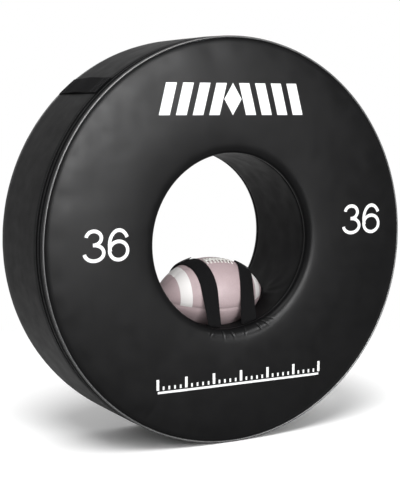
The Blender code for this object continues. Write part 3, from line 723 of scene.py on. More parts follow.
def bandRings(outline, angles, thickness, seamSides):  # closed sections of a band that gathers at its seams
    rings = []
    for angle in angles:
        ring = []
        for radius, y in outline:
            at = Vector((outerRadius * cos(angle), outerRadius * sin(angle), y))
            near = min([abs(y - edge) for edge in seamSides] + [1.0])
            wave = noise.noise(at / tread["waveSize"]) - tread["waveBias"]
            pucker = noise.noise(at / tread["puckerSize"]) - tread["puckerBias"]
            push = tread["wave"] * wave * min(1.0, near / tread["held"])
            push += tread["pucker"] * pucker * exp(-near / tread["reach"])
            ring.append((radius + push, y))
        inner = [(radius - thickness, y) for radius, y in reversed(ring)]
        outer = [onWheel(radius, y, angle) for radius, y in ring]
        rings.append(outer + [onWheel(radius, y, angle, thickness) for radius, y in inner])
    return rings


def eased(low, high, edgeLow, edgeHigh, level, run, count):  # a band that rises from its edges
    line = []
    for k in range(count + 1):
        y = low + (high - low) * k / count
        radius = level
        if y < low + run:
            share = (y - low) / run
            radius = edgeLow + (level - edgeLow) * sin(pi / 2 * share)
        elif y > high - run:
            share = (high - y) / run
            radius = edgeHigh + (level - edgeHigh) * sin(pi / 2 * share)
        line.append((radius, y))
    return line


rimRadius = outerRadius - wheel["rimDraw"]
lowRadius = outerRadius - zipper["setback"]
turnAngles = evenAngles(tread["steps"], solidStep / 2)
treadLine = eased(windowRear, treadEdge, lowRadius, rimRadius, outerRadius, wheel["ease"], 44)
treadBand = loftPiece("treadPanel", bandRings(treadLine, turnAngles, wheel["vinyl"], (treadEdge,)),
                      treadVinyl, "wheel", ("cover_tread_panel",), closed=True)
borderLine = [(rimRadius + (lowRadius - rimRadius) * sin(pi / 2 * min(1.0, k / 6)),
               -treadEdge + zipper["border"] * k / 8) for k in range(9)]
loftPiece("frontBorder", bandRings(borderLine, turnAngles, wheel["vinyl"], (-treadEdge,)), treadVinyl,
          "wheel", ("cover_front_border",), closed=True)
closingLine = [(lowRadius, windowFront + wheel["gap"] + (zipper["window"] - 2 * wheel["gap"]) * k / 10)
               for k in range(11)]
closingSweep = 2 * pi - zipper["steps"] * solidStep - 2 * zipSlip
closingAngles = [zipEnd + zipSlip + closingSweep * k / 110 for k in range(111)]
loftPiece("closingStrip", bandRings(closingLine, closingAngles, wheel["vinyl"], (windowFront, windowRear)),
          treadVinyl, "wheel", ("cover_closing_strip",))
print("tread made")


# Piping: a covered cord in each rim seam

pipe = {"sides": 16, "steps": 480, "wander": 0.00018, "wanderSize": 0.02}


def makePiping(name, side, node):
    rings = []
    for angle in evenAngles(pipe["steps"]):
        at = Vector((cos(angle), sin(angle), side)) * (outerRadius / pipe["wanderSize"])
        swell = pipe["wander"] * noise.noise(at)
        ring = []
        for k in range(pipe["sides"]):
            turn = 2 * pi * k / pipe["sides"]
            thick = wheel["piping"] + swell
            ring.append(onWheel(pipingLine + thick * cos(turn), side * seamDepth + thick * sin(turn), angle))
        rings.append(ring)
    return loftPiece(name, rings, piping, "wheel", (node,), closed=True)


makePiping("frontPiping", -1, "rim_piping_front")
makePiping("rearPiping", 1, "rim_piping_rear")


# Bore sleeve, pressed out under the football, creased round its ends and kept smooth under the strap feet

sleeve = {
    "coarse": 150, "dense": 180, "denseHalf": 62, "rows": 90, "wrinkle": 0.0005, "wrinkleSize": 0.035,
    "seamDip": 0.0009, "seamReach": 0.004, "held": 0.006, "firm": 0.001, "footEase": 0.004,
}
tipAngles = [atan2(-ballDrop, ball["shift"] + side * ballHalf) for side in (-1, 1)]


# Folds that the football's tips draw in the sleeve: (degrees from the wheel's front, height, half width)
tipFolds = {"near": 0.028, "reach": 0.075, "bend": 4.0,
            "lines": ((-38, 0.0013, 0.0075), (-14, 0.0016, 0.0060), (8, 0.0013, 0.0070), (34, 0.0010, 0.0090),
                      (152, 0.0009, 0.0085), (178, 0.0012, 0.0070), (206, 0.0009, 0.0085))}


def sleevePush(angle, y):
    push = 0.0
    for side, tip in zip((-1, 1), tipAngles):
        along = side * turnFrom(tip, angle) * wheel["bore"]  # up the wall from the tip
        away = hypot(along, y)
        if away > 2.4 * tipFolds["reach"]:
            continue
        fade = exp(-(away / tipFolds["reach"]) ** 2) * min(1.0, away / tipFolds["near"]) ** 2
        for lean, height, wide in tipFolds["lines"]:
            turn = radians(lean) + tipFolds["bend"] * away * side
            ahead = along * sin(turn) - y * cos(turn)
            aside = along * cos(turn) + y * sin(turn)
            if ahead > 0:
                spread = wide * (0.6 + ahead / tipFolds["reach"])
                push += height * exp(-(aside / spread) ** 2) * fade
    at = Vector((wheel["bore"] * cos(angle), wheel["bore"] * sin(angle), y))
    return push + sleeve["wrinkle"] * noise.noise(at / sleeve["wrinkleSize"])


def underFoot(angle, y):  # 0 beneath a strap's foot, 1 away from it
    if abs(y) < boreSeam - strap["footInset"] - strap["foot"] - sleeve["footEase"]:
        return 1.0
    for middle in footAngles.values():
        off = abs(turnFrom(middle, angle)) * wheel["bore"] - strap["width"] / 2
        if off < sleeve["footEase"]:
            return max(0.0, off / sleeve["footEase"])
    return 1.0


def makeSleeve():
    angles = denseAngles(sleeve["coarse"], sleeve["dense"], -pi / 2, radians(sleeve["denseHalf"]))
    reach = boreSeam - wheel["gap"]
    rows = []
    for angle in angles:
        row = []
        for k in range(sleeve["rows"] + 1):
            y = reach * (2 * k / sleeve["rows"] - 1)
            hollow = pressed(angle, y)
            free = 1.0 if hollow == 0 else max(0.0, 1 - hollow / sleeve["firm"])
            held = min(1.0, (reach - abs(y)) / sleeve["held"])
            push = sleevePush(angle, y) * free * held * underFoot(angle, y)
            dip = sleeve["seamDip"] * exp(-((reach - abs(y)) / sleeve["seamReach"]) ** 2)
            row.append(onWheel(wheel["bore"] + hollow - push + dip, y, angle))
        rows.append(row)
    made = sheetPiece("boreSleeve", rows, boreVinyl, "wheel", ("cover_bore_sleeve",),
                      lambda p: p + (p - wheelCentre))
    thicken(made, wheel["vinyl"])


makeSleeve()
print("bore sleeve made")


# Foam core: three slabs that fill the cover

core = {"steps": 180, "rows": 9, "shoulder": 0.0062, "shoulderEdge": 0.0063, "shoulderEnd": 0.0243}


def makeSlabs():
    skin = wheel["vinyl"] + wheel["gap"]
    wall, outer = wheel["bore"] + skin, outerRadius - skin
    shoulder = outerRadius - core["shoulder"]
    half = wheel["slab"]
    lap = wheel["gap"] / 2
    angles = evenAngles(core["steps"], solidStep / 2)
    for name, node, side in (("foamFront", "foam_slab_front", -1), ("foamMiddle", "foam_slab_middle", 0),
                             ("foamRear", "foam_slab_rear", 1)):
        if side == 0:
            low, high = lap - half, half - lap
            outline = [(outer, high), (outer, low)]
        else:
            low, high = half + lap, boreSeam
            outline = faceLine(skin + face["seamDip"])[::-1][1:]
            if side < 0:
                outline += [(shoulder, seamDepth - skin), (shoulder, -windowRear - core["shoulderEdge"]),
                            (outer, -windowRear - core["shoulderEnd"])]
            else:
                outline += [(seamRadius - skin, seamDepth - skin), (outer, treadEdge - wheel["ease"])]
            outline.append((outer, low))
        rings = []
        for angle in angles:
            ring = []
            for k in range(core["rows"] + 1):
                y = low + (high - low) * k / core["rows"]
                ring.append(onWheel(wall + pressed(angle, y), (side or 1) * y, angle))
            ring += [onWheel(radius, (side or 1) * y, angle, skin) for radius, y in outline]
            rings.append(ring)
        slab = loftPiece(name, rings, foam, "wheel", (node,), closed=True)


makeSlabs()
print("foam made")


# Zip: tapes, coil teeth, stops, slider and pull

teeth = {"pitch": 0.0024, "width": 0.00145, "reachIn": 0.00045, "sides": 6,
         "shape": ((0.0, 0.55), (0.08, 0.95), (0.22, 1.0), (0.75, 0.8), (0.94, 0.7), (1.0, 0.4))}


def stripRings(section, angles):  # a strip round the wheel with a section of (radius, y)
    rings, places = [], []
    for angle in angles:
        rings.append([onWheel(radius, y, angle) for radius, y in section])
        places.append([(angle * outerRadius, y) for _, y in section])
    return rings, places


def makeTapes():
    half = zipper["chainGap"] / 2
    count = 240
    angles = [zipStart + zipSlip + (zipEnd - zipStart - 2 * zipSlip) * k / count for k in range(count + 1)]
    for name, node, side, far in (("frontZipTape", "zip_tape_front", -1, windowFront - zipper["tapeMargin"]),
                                  ("rearZipTape", "zip_tape_rear", 1, windowRear + zipper["tapeMargin"])):
        near = chainLine + side * half
        outer = [(tapeOuter, near + (far - near) * k / 8) for k in range(9)]
        section = outer + [(radius - zipper["tape"], y) for radius, y in reversed(outer)]
        rings, places = stripRings(section, angles)
        loftPiece(name, rings, tape, "wheel", (node,), places=places)


def makeTeeth():
    first = zipStart + stopAngle + 4 * zipSlip
    last = zipEnd - stopAngle - 4 * zipSlip
    count = int((last - first) * outerRadius / teeth["pitch"])
    step = (last - first) / count
    middle = (coilInner + coilOuter) / 2
    half = zipper["coilHeight"] / 2
    for name, node, side, phase in (("frontZipCoil", "zip_coil_front", -1, 0.25),
                                    ("rearZipCoil", "zip_coil_rear", 1, 0.75)):
        verts, faces = [], []
        near = chainLine + side * (zipper["chainGap"] / 2 - teeth["reachIn"])
        far = chainLine + side * (zipper["chainGap"] / 2 + zipper["coilWidth"])
        for k in range(count):
            angle = first + (k + phase) * step
            rings = []
            for share, swell in teeth["shape"]:
                y = near + (far - near) * share
                ring = []
                for j in range(teeth["sides"]):
                    turn = 2 * pi * (j + 0.5) / teeth["sides"]
                    radius = middle + half * swell * cos(turn)
                    aside = teeth["width"] / 2 * swell * sin(turn) / outerRadius
                    ring.append(onWheel(radius, y, angle + aside))
                rings.append(ring)
            addBody(verts, faces, rings)
        meshPiece(name, verts, faces, coil, "wheel", (node,), sharp=60)


def plate(outline, hole, low, high, edge):  # a flat part with a bevelled rim, thickness along X
    bm = bmesh.new()
    ring = [bm.verts.new((low, y, z)) for y, z in outline]
    if hole:
        inner = [bm.verts.new((low, y, z)) for y, z in hole]
        count = len(ring)
        for k in range(count):
            nearest = (k + 1) % count
            bm.faces.new((ring[k], ring[nearest], inner[nearest], inner[k]))
    else:
        bm.faces.new(ring)
    raised = bmesh.ops.extrude_face_region(bm, geom=list(bm.faces))
    for item in raised["geom"]:
        if isinstance(item, bmesh.types.BMVert):
            item.co.x = high
    bmesh.ops.recalc_face_normals(bm, faces=bm.faces)
    if edge:
        rim = [e for e in bm.edges if e.calc_face_angle(0) > radians(50)]
        bmesh.ops.bevel(bm, geom=rim, offset=edge, segments=3, profile=0.5, affect="EDGES",
                        clamp_overlap=True)
    return bm


def roundedOutline(corners, radius, steps=4):  # a closed outline of (y, z) with its corners rounded
    line = []
    count = len(corners)
    for k in range(count):
        corner = Vector(corners[k])
        before = (Vector(corners[k - 1]) - corner).normalized()
        after = (Vector(corners[(k + 1) % count]) - corner).normalized()
        start, end = corner + before * radius, corner + after * radius
        for j in range(steps + 1):
            share = j / steps
            a, b = start.lerp(corner, share), corner.lerp(end, share)
            line.append(tuple(a.lerp(b, share)))
    return line


def gather(name, parts, finish, body, slot, stands, place):  # several closed bodies as one piece
    bm = bmesh.new()
    for part in parts:
        spare = bpy.data.meshes.new("spare")
        part.to_mesh(spare)
        part.free()
        bm.from_mesh(spare)
        bpy.data.meshes.remove(spare)
    verts = [v.co.copy() for v in bm.verts]
    bm.verts.index_update()
    faces = [tuple(v.index for v in f.verts) for f in bm.faces]
    bm.free()
    return meshPiece(name, verts, faces, finish, body, stands, 40, place)


slider = {
    "half": 0.008, "nose": 0.006, "tail": 0.0042, "top": 0.0014, "under": 0.0009, "play": 0.0004,
    "blade": 0.001, "bladeLength": 0.004, "bladeInset": 0.0002, "edge": 0.00035, "corner": 0.0016,
    "archWidth": 0.0028, "archLength": 0.009, "archHeight": 0.0032, "archBar": 0.0012,
    "archSquare": 0.35, "archBevel": 0.0002, "archSteps": 16,
}
pull = {
    "length": 0.03, "width": 0.009, "neck": 0.0072, "thickness": 0.001, "eye": 0.0011, "shoulder": 0.011,
    "window": (0.005, 0.0075), "edge": 0.00025, "ribs": 5, "ribPitch": 0.0021, "ribHeight": 0.00035,
    "ribStart": 0.004, "ribWidth": 0.001, "ribRoot": 0.0002, "corner": 0.0016,
}


def makeSlider():
    upright = Matrix.Translation(wheelCentre) @ Matrix.Rotation(-parkAngle, 4, "Y")
    turn = upright @ Matrix.Translation((0, chainLine, 0))
    plateIn = coilOuter + slider["play"]
    plateOut = plateIn + slider["top"]
    half = slider["half"]
    shield = [(-slider["nose"], -half), (slider["nose"], -half), (slider["nose"], half * 0.1),
              (slider["tail"], half), (-slider["tail"], half), (-slider["nose"], half * 0.1)]
    outline = roundedOutline(shield, slider["corner"])
    underOut = tapeInner * cos(solidStep / 2) - slider["play"]
    parts = [plate(outline, None, plateIn, plateOut, slider["edge"]),
             plate(outline, None, underOut - slider["under"], underOut, slider["edge"])]
    bladeHalf = slider["blade"] / 2
    nose, heel = slider["bladeInset"] - half, slider["bladeLength"] - half
    post = roundedOutline([(-bladeHalf, nose), (bladeHalf, nose), (bladeHalf, heel), (-bladeHalf, heel)],
                          bladeHalf * 0.6)
    parts.append(plate(post, None, underOut - slider["under"] / 2, plateIn + slider["top"] / 2, 0))
    # The arch is a bent bar over the plate, open underneath for the pull's eye
    wide, long = slider["archWidth"] / 2, slider["archLength"] / 2
    root, rise = plateOut - slider["top"] / 2, slider["archHeight"] + slider["top"] / 2
    bar, bevel, steps = slider["archBar"], slider["archBevel"], slider["archSteps"]
    arch = bmesh.new()
    rings = []
    for k in range(steps + 1):
        bend = pi * k / steps
        lean = squared(cos(bend), slider["archSquare"])
        climb = sin(bend) ** slider["archSquare"] if 0 < k < steps else 0.0
        x, z = root + rise * climb, long * lean
        xi, zi = root + (rise - bar) * climb, (long - bar) * lean
        rings.append([(x, -wide * 0.7, z), (x - bevel, -wide, z * 0.97), (xi, -wide, zi), (xi, wide, zi),
                      (x - bevel, wide, z * 0.97), (x, wide * 0.7, z)])
    verts, faces = loft(rings)
    made = [arch.verts.new(v) for v in verts]
    for f in facesOut(verts, faces):
        arch.faces.new([made[c] for c in f])
    parts.append(arch)
    gather("zipSlider", parts, metal, "zip_slider", "dark_metal", ("zip_slider",), turn)

    eyeX = plateOut + (slider["archHeight"] - slider["archBar"]) / 2
    eyeZ = slider["archBar"] + wheel["gap"] + pull["eye"] / 2 - slider["archLength"] / 2
    hang = turn @ Matrix.Translation((eyeX, 0, eyeZ))
    top = pull["eye"] / 2
    bottom = top - pull["length"]
    neck, wide = pull["neck"] / 2, pull["width"] / 2
    tabLine = [(-wide, bottom), (wide, bottom), (wide, -pull["shoulder"]), (neck, top), (-neck, top),
               (-wide, -pull["shoulder"])]
    outline = roundedOutline(tabLine, pull["corner"])
    w, h = pull["window"]
    y0, z1 = w / 2, -pull["eye"] / 2
    hole = [(-y0, z1 - h), (y0, z1 - h), (y0, z1 - h * 0.5), (y0, z1), (-y0, z1), (-y0, z1 - h * 0.5)]
    hole = roundedOutline(hole, pull["corner"] / 2)
    parts = [plate(outline, hole, -pull["thickness"] / 2, pull["thickness"] / 2, pull["edge"])]
    for k in range(pull["ribs"]):
        z = bottom + pull["ribStart"] + k * pull["ribPitch"]
        far = z + pull["ribWidth"]
        for side in (-1, 1):
            rib = roundedOutline([(-wide * 0.7, z), (wide * 0.7, z), (wide * 0.7, far), (-wide * 0.7, far)],
                                 pull["corner"] / 4, 3)
            inner = side * (pull["thickness"] / 2 - pull["ribRoot"])
            outer = side * (pull["thickness"] / 2 + pull["ribHeight"])
            parts.append(plate(rib, None, min(inner, outer), max(inner, outer), 0))
    gather("zipPull", parts, metal, "zip_pull", "dark_metal", ("zip_pull_tab",), hang)


def makeStops():
    reach = zipper["chainGap"] / 2 + zipper["coilWidth"]
    middle = (coilInner + coilOuter) / 2
    for name, node, start in (("zipTopStop", "zip_top_stop", zipStart + zipSlip),
                              ("zipBottomStop", "zip_bottom_stop", zipEnd - zipSlip - stopAngle)):
        rings = []
        for k in range(9):
            share = k / 8
            swell = (1 - abs(2 * share - 1) ** 4) ** 0.5 * 0.25 + 0.75
            ring = []
            for j in range(16):
                turn = 2 * pi * j / 16
                y = chainLine + reach * swell * squared(cos(turn), 0.5)
                radius = middle + zipper["coilHeight"] / 2 * swell * squared(sin(turn), 0.5)
                ring.append(onWheel(radius, y, start + stopAngle * share))
            rings.append(ring)
        loftPiece(name, rings, metal, "wheel", (node,), sharp=50)


makeTapes()
makeTeeth()
makeSlider()
makeStops()
print("zip made")


# Stitches: short raised threads along the seams

stitch = {"length": 0.0030, "pitch": 0.0042, "radius": 0.00038, "sides": 5, "sunk": 0.75,
          "shape": ((0.0, 0.1), (0.18, 0.8), (0.5, 1.0), (0.82, 0.8), (1.0, 0.1)),
          "hemInset": 0.0035, "rearRise": 0.0009, "floor": 0.0001}


def stitchRow(name, route, count):  # route(share) gives point, tangent, normal
    verts, faces = [], []
    for k in range(count):
        point, tangent, normal = route((k + 0.5) / count)
        aside = tangent.cross(normal).normalized()
        rings = []
        for share, swell in stitch["shape"]:
            rise = stitch["radius"] * (swell - stitch["sunk"])
            middle = point + tangent * (share - 0.5) * stitch["length"] + normal * rise
            ring = []
            for j in range(stitch["sides"]):
                turn = 2 * pi * j / stitch["sides"]
                ring.append(middle + (aside * cos(turn) + normal * sin(turn)) * stitch["radius"] * swell)
            rings.append(ring)
        addBody(verts, faces, rings)
    meshPiece(name, verts, faces, thread, "wheel", sharp=80)


def hemRow(name, radius, y):
    def route(share):
        angle = 2 * pi * share
        return onWheel(radius, y, angle, stitch["floor"]), forward(angle), outward(angle)
    stitchRow(name, route, int(2 * pi * lowRadius / stitch["pitch"]))


hemRow("frontHemStitches", lowRadius, windowFront - stitch["hemInset"])
hemRow("rearHemStitches", lowRadius + stitch["rearRise"], windowRear + stitch["hemInset"])
print("hem stitches made")


# Carry handles: webbing across the tread, sewn down at both ends

handle = {"width": 0.05, "thickness": 0.0022, "seat": 0.0004, "bow": 0.0026, "angles": (131, 311),
          "across": 14, "stations": 60, "sewn": 0.026, "stitchInset": 0.0035, "endInset": 0.003,
          "freeFrom": 0.12, "nudge": 0.0005}


def handleLine(y):  # the radius of the webbing's underside at y
    start, end = windowRear + wheel["ease"], treadEdge - wheel["ease"]
    low, rim = lowRadius + handle["seat"], rimRadius + handle["seat"]
    level = outerRadius + handle["seat"]
    if y < start:
        return low + (level - low) * sin(pi / 2 * (y - windowRear) / wheel["ease"])
    if y > end:
        return rim + (level - rim) * sin(pi / 2 * (treadEdge - y) / wheel["ease"])
    share = (y - start) / (end - start)
    lifted = min(1.0, max(0.0, (share - handle["freeFrom"]) / (1 - 2 * handle["freeFrom"])))
    return level + handle["bow"] * sin(pi * lifted) ** 2


def handleSlope(before, after):
    return (handleLine(after) - handleLine(before)) / (2 * handle["nudge"])


def stripSection(width, thickness, across):  # closed (aside, height) outline of webbing with soft edges
    soft = thickness / 2
    edge = width / 2 - soft
    bends = [radians(turn) for turn in (45, 90, 135)]
    steps = [-edge + (width - 2 * soft) * k / across for k in range(across + 1)]
    section = [(step, thickness) for step in steps]
    section += [(edge + soft * sin(bend), soft + soft * cos(bend)) for bend in bends]
    section += [(-step, 0.0) for step in steps]
    return section + [(-edge - soft * sin(bend), soft - soft * cos(bend)) for bend in bends]


def makeHandles():
    low, high = windowRear + wheel["gap"], treadEdge
    section = stripSection(handle["width"], handle["thickness"], handle["across"])
    for name, node, angle in zip(("upperHandle", "lowerHandle"), ("carry_handle_upper", "carry_handle_lower"),
                                 handle["angles"]):
        middle = radians(angle)
        rings, places = [], []
        for k in range(handle["stations"] + 1):
            y = low + (high - low) * k / handle["stations"]
            base = handleLine(y)
            slide = handleSlope(max(low, y - handle["nudge"]), min(high, y + handle["nudge"]))
            ring, place = [], []
            for aside, height in section:
                ring.append(onWheel(base + height, y - slide * height, middle + aside / outerRadius))
                place.append((y, aside))
            rings.append(ring)
            places.append(place)
        loftPiece(name, rings, webbing, "wheel", (node,), places=places)
        makeBoxStitch(name + "Stitches", middle)


def makeBoxStitch(name, middle):  # a sewn square with a cross at each end of a handle
    half = handle["width"] / 2 - handle["stitchInset"]
    runs = []
    for edge, inward in ((windowRear + handle["endInset"], 1), (treadEdge - handle["endInset"], -1)):
        far = edge + inward * handle["sewn"]
        corners = [(-half, edge), (half, edge), (half, far), (-half, far)]
        for a, b in ((0, 1), (1, 2), (2, 3), (3, 0), (0, 2), (1, 3)):
            runs.append((corners[a], corners[b]))
    spots = []
    for (a0, y0), (a1, y1) in runs:
        count = max(2, int(hypot(a1 - a0, y1 - y0) / stitch["pitch"]))
        for k in range(count):
            share = (k + 0.5) / count
            spots.append((a0 + (a1 - a0) * share, y0 + (y1 - y0) * share, a1 - a0, y1 - y0))

    def route(share):
        aside, y, runAside, runY = spots[min(len(spots) - 1, int(share * len(spots)))]
        angle = middle + aside / outerRadius
        out = outward(angle)
        slide = handleSlope(y - handle["nudge"], y + handle["nudge"])
        along = (Vector((0, 1, 0)) + out * slide).normalized()
        tangent = (forward(angle) * runAside + along * runY).normalized()
        normal = (out - along * out.dot(along)).normalized()
        return onWheel(handleLine(y) + handle["thickness"], y, angle), tangent, normal
    stitchRow(name, route, len(spots))


makeHandles()
print("handles made")


# Football: four panels that swell between their seams, laces along the top, bladder and valve inside

panel = {"stations": 96, "turns": 26, "groove": 0.0013, "grooveWidth": 0.0045, "swell": 0.0005, "gap": 0.0002,
         "tipStart": 0.131, "tipEnd": 0.1408}


def ballSkin(x):  # the football's radius with its rounded tips
    radius = ballProfile(x)
    over = abs(x) - panel["tipStart"]
    if over <= 0:
        return radius
    share = min(1.0, over / (panel["tipEnd"] - panel["tipStart"]))
    return ballProfile(min(abs(x), ballHalf)) * sqrt(max(0.0, 1 - share * share))


def ballPoint(x, radius, turn):
    return Vector((x, radius * sin(turn), radius * cos(turn)))


def panelRadius(x, fromSeam):  # dips at the seams and swells between them
    radius = ballSkin(x)
    off = fromSeam * max(radius, 0.001)
    dip = panel["groove"] * exp(-(off / panel["grooveWidth"]) ** 2)
    swell = panel["swell"] * (1 - exp(-(off / 0.02) ** 2))
    return max(radius * 0.2, radius + (swell - dip) * min(1.0, radius / 0.02))


def makeBallPanels():
    for key, middle, striped in (("rear_upper", 45, 1), ("rear_lower", 135, 0), ("front_lower", 225, 0),
                                 ("front_upper", 315, 1)):
        start = radians(middle - 45)
        rings, places = [], []
        for k in range(panel["stations"] + 1):
            x = -panel["tipEnd"] * cos(pi * (k + 0.35) / (panel["stations"] + 0.7))
            outer, inner, spots = [], [], []
            for j in range(panel["turns"] + 1):
                share = 0.5 - 0.5 * cos(pi * j / panel["turns"])
                turn = start + pi / 2 * share
                radius = panelRadius(x, min(share, 1 - share) * pi / 2)
                gap = panel["gap"] / max(radius, 0.003)
                turn = min(max(turn, start + gap), start + pi / 2 - gap)
                outer.append(ballPoint(x, radius, turn))
                deep = max(radius - ball["leather"], radius * 0.3)
                inner.append(ballPoint(x, deep, turn))
                spots.append((x, striped))
            rings.append(outer + inner[::-1])
            places.append(spots + spots[::-1])
        name = "ballPanel_" + key
        loftPiece(name, rings, leather, "wheel", ("ball_panel_" + key,), place=ballPlace,
                  places=places)


laces = {"length": 0.07, "shift": 0.011, "width": 0.011, "aside": -0.003, "thickness": 0.0016,
         "crossWidth": 0.0045, "crossSpan": 0.030, "count": 8, "seat": -0.0004, "bite": 0.0016, "steps": 32,
         "crossSteps": 24, "rise": 0.0006, "ripple": 0.0003, "biteFrom": 0.93, "wander": 0.0004,
         "crossRise": 0.0004, "hump": 0.0013, "humpWidth": 0.0045, "crossBiteFrom": 0.88}


def makeLaces():
    pitch = (laces["length"] - laces["crossWidth"]) / (laces["count"] - 1)
    left = laces["shift"] - laces["length"] / 2
    verts, faces = [], []

    rings = []
    section = stripSection(laces["width"], laces["thickness"], 4)
    for k in range(laces["steps"] + 1):
        share = k / laces["steps"]
        x = left + laces["length"] * share
        ripple = laces["ripple"] * sin(2 * pi * (x - left) / pitch)
        dive = laces["bite"] * max(0.0, abs(2 * share - 1) - laces["biteFrom"]) / (1 - laces["biteFrom"])
        ring = []
        for aside, height in section:
            radius = ballProfile(x) + laces["seat"] + height + laces["rise"] + ripple - dive
            turn = (aside - laces["aside"]) / ball["radius"]
            ring.append(ballPoint(x, radius, turn))
        rings.append(ring)
    addBody(verts, faces, rings)
    section = stripSection(laces["crossWidth"], laces["thickness"], 4)
    half = laces["crossSpan"] / 2
    for n in range(laces["count"]):
        middle = left + laces["crossWidth"] / 2 + n * pitch
        lean = laces["wander"] * sin(2.4 * n)
        rings = []
        for k in range(laces["crossSteps"] + 1):
            share = 2 * k / laces["crossSteps"] - 1
            across = half * share
            over = laces["crossRise"] + laces["hump"] * exp(-(across / laces["humpWidth"]) ** 2)
            bite = max(0.0, abs(share) - laces["crossBiteFrom"]) / (1 - laces["crossBiteFrom"])
            ring = []
            for aside, height in section:
                x = middle + aside + lean * share
                radius = ballProfile(x) + laces["seat"] + height + over - laces["bite"] * bite
                ring.append(ballPoint(x, radius, across / ball["radius"]))
            rings.append(ring)
        addBody(verts, faces, rings)
    meshPiece("ballLaces", verts, faces, lace, "wheel", ("ball_laces",), 50, ballPlace)


def lathe(profile, sides):  # (radius, height) points turned about Z, first and last on the axis
    rings = []
    for k in range(sides):
        turn = 2 * pi * k / sides
        rings.append([(r * cos(turn), r * sin(turn), h) for r, h in profile])
    count = len(profile)
    bm = bmesh.new()
    grid = [[bm.verts.new(p) for p in ring] for ring in rings]
    for k in range(sides):
        here, there = grid[k], grid[(k + 1) % sides]
        for j in range(count - 1):
            bm.faces.new((here[j], there[j], there[j + 1], here[j + 1]))
    bmesh.ops.remove_doubles(bm, verts=bm.verts, dist=1e-6)
    bmesh.ops.dissolve_degenerate(bm, edges=bm.edges, dist=1e-7)
    bmesh.ops.recalc_face_normals(bm, faces=bm.faces)
    return bm


inside = {"gap": 0.0005, "valve": 0.003, "valveAngle": 225, "dish": 0.0007}


def makeBladder():
    profile = []
    depth = ball["leather"] + inside["gap"]
    for k in range(49):
        x = -(panel["tipEnd"] - depth) * cos(pi * k / 48)
        profile.append((max(0.0, ballSkin(x) - depth) if 0 < k < 48 else 0.0, x))
    turn = Matrix.Rotation(pi / 2, 4, "Y")
    gather("ballBladder", [lathe(profile, 40)], rubber, "wheel", "black_rubber", ("ball_bladder",),
           ballPlace @ turn)
    top = ball["radius"] + wheel["gap"]
    radius = inside["valve"]
    neck = [(0, top - inside["dish"]), (radius * 0.3, top - inside["dish"]), (radius * 0.55, top),
            (radius * 0.9, top), (radius, top - 0.0003), (radius, top - 0.006), (0, top - 0.006)]
    stand = Matrix.Rotation(-radians(inside["valveAngle"]), 4, "X")
    gather("ballValve", [lathe(neck, 28)], rubber, "wheel", "black_rubber", ("ball_valve",),
           ballPlace @ stand)


makeBallPanels()
makeLaces()
makeBladder()
print("football made")


# Straps over the football

strapShape = {"across": 12, "free": 12, "stations": 64}


def makeStrapHalf(name, node, body, line, side, low, endShare):
    thick = strap["thickness"]
    section = stripSection(strap["width"], thick, strapShape["across"])
    rear = min(line.touch(1, aside, low + thick, thick)
               for aside in (-strap["width"] / 2, 0, strap["width"] / 2))
    end = rear * endShare
    touches = {}
    for aside, height in section:
        key = (round(aside, 6), round(height, 6))
        if key not in touches:
            touches[key] = line.touch(side, aside, low + height, height)
    rings, places = [], []
    lengths = 0.0
    previous = None
    free, stations = strapShape["free"], strapShape["stations"]
    for k in range(free + stations + 1):
        ring, place = [], []
        for aside, height in section:
            key = (round(aside, 6), round(height, 6))
            padding = low + height
            start = line.station(touches[key], aside, padding)
            if k < free:
                share = k / free
                point = line.foot(side, aside, height).lerp(start, share)
            else:
                share = (k - free) / stations
                first = line.turnAt(touches[key], aside, padding)
                last = line.turnAt(end, aside, padding)
                along = line.alongAt(first + (last - first) * share, aside, padding)
                point = line.station(along, aside, padding)
            ring.append(point)
        centre = sum(ring, Vector()) / len(ring)
        if previous is not None:
            lengths += (centre - previous).length
        previous = centre
        rings.append(ring)
        places.append([(lengths, aside) for aside, _ in section])
    loftPiece(name, rings, webbing, body, (node,), places=places)


patch = {"steps": 24, "backing": 0.55, "edge": 0.001, "lean": 0.0003,
         "loopPitch": 0.0021, "loopHalf": 0.0006, "hookPitch": 0.0017, "hookHalf": 0.00028,
         "corners": ((-1, -1), (1, -1), (1, 1), (-1, 1))}


def makePatch(name, node, body, finish, line, low, kind):  # a backing with its rows of hooks or loops
    backing = strap["fastener"] * patch["backing"]
    tall = strap["fastener"] - backing
    base = low + (tall if kind == "hook" else 0.0)
    root, tip = (base, low) if kind == "hook" else (low + backing, low + backing + tall)
    width = strap["width"] - 2 * strap["patchMargin"]
    section = stripSection(width, backing, 10)
    rear = min(line.touch(1, aside, low, strap["thickness"]) for aside in (-width / 2, 0, width / 2))
    first, last = (rear * share for share in strap["patchShares"])
    rings = []
    for k in range(patch["steps"] + 1):
        along = first + (last - first) * k / patch["steps"]
        rings.append([line.station(along, aside, base + height) for aside, height in section])
    verts, faces = [], []
    addBody(verts, faces, rings)
    pitch, half = patch[kind + "Pitch"], patch[kind + "Half"]
    inner = width - 2 * patch["edge"]
    rows, columns = int(abs(last - first) / pitch), int(inner / pitch)
    for i in range(rows):
        for j in range(columns):
            along = first + (last - first) * (i + 0.5) / rows
            aside = inner * ((j + 0.5) / columns - 0.5)
            lean = patch["lean"] * sin(1.7 * i + 2.3 * j)
            foot = [line.station(along + a * half, aside + b * half, root) for a, b in patch["corners"]]
            top = [line.station(along + a * half / 2 + lean, aside + b * half / 2 + lean, tip)
                   for a, b in patch["corners"]]
            addBody(verts, faces, [foot, top])
    meshPiece(name, verts, faces, finish, body, (node,))


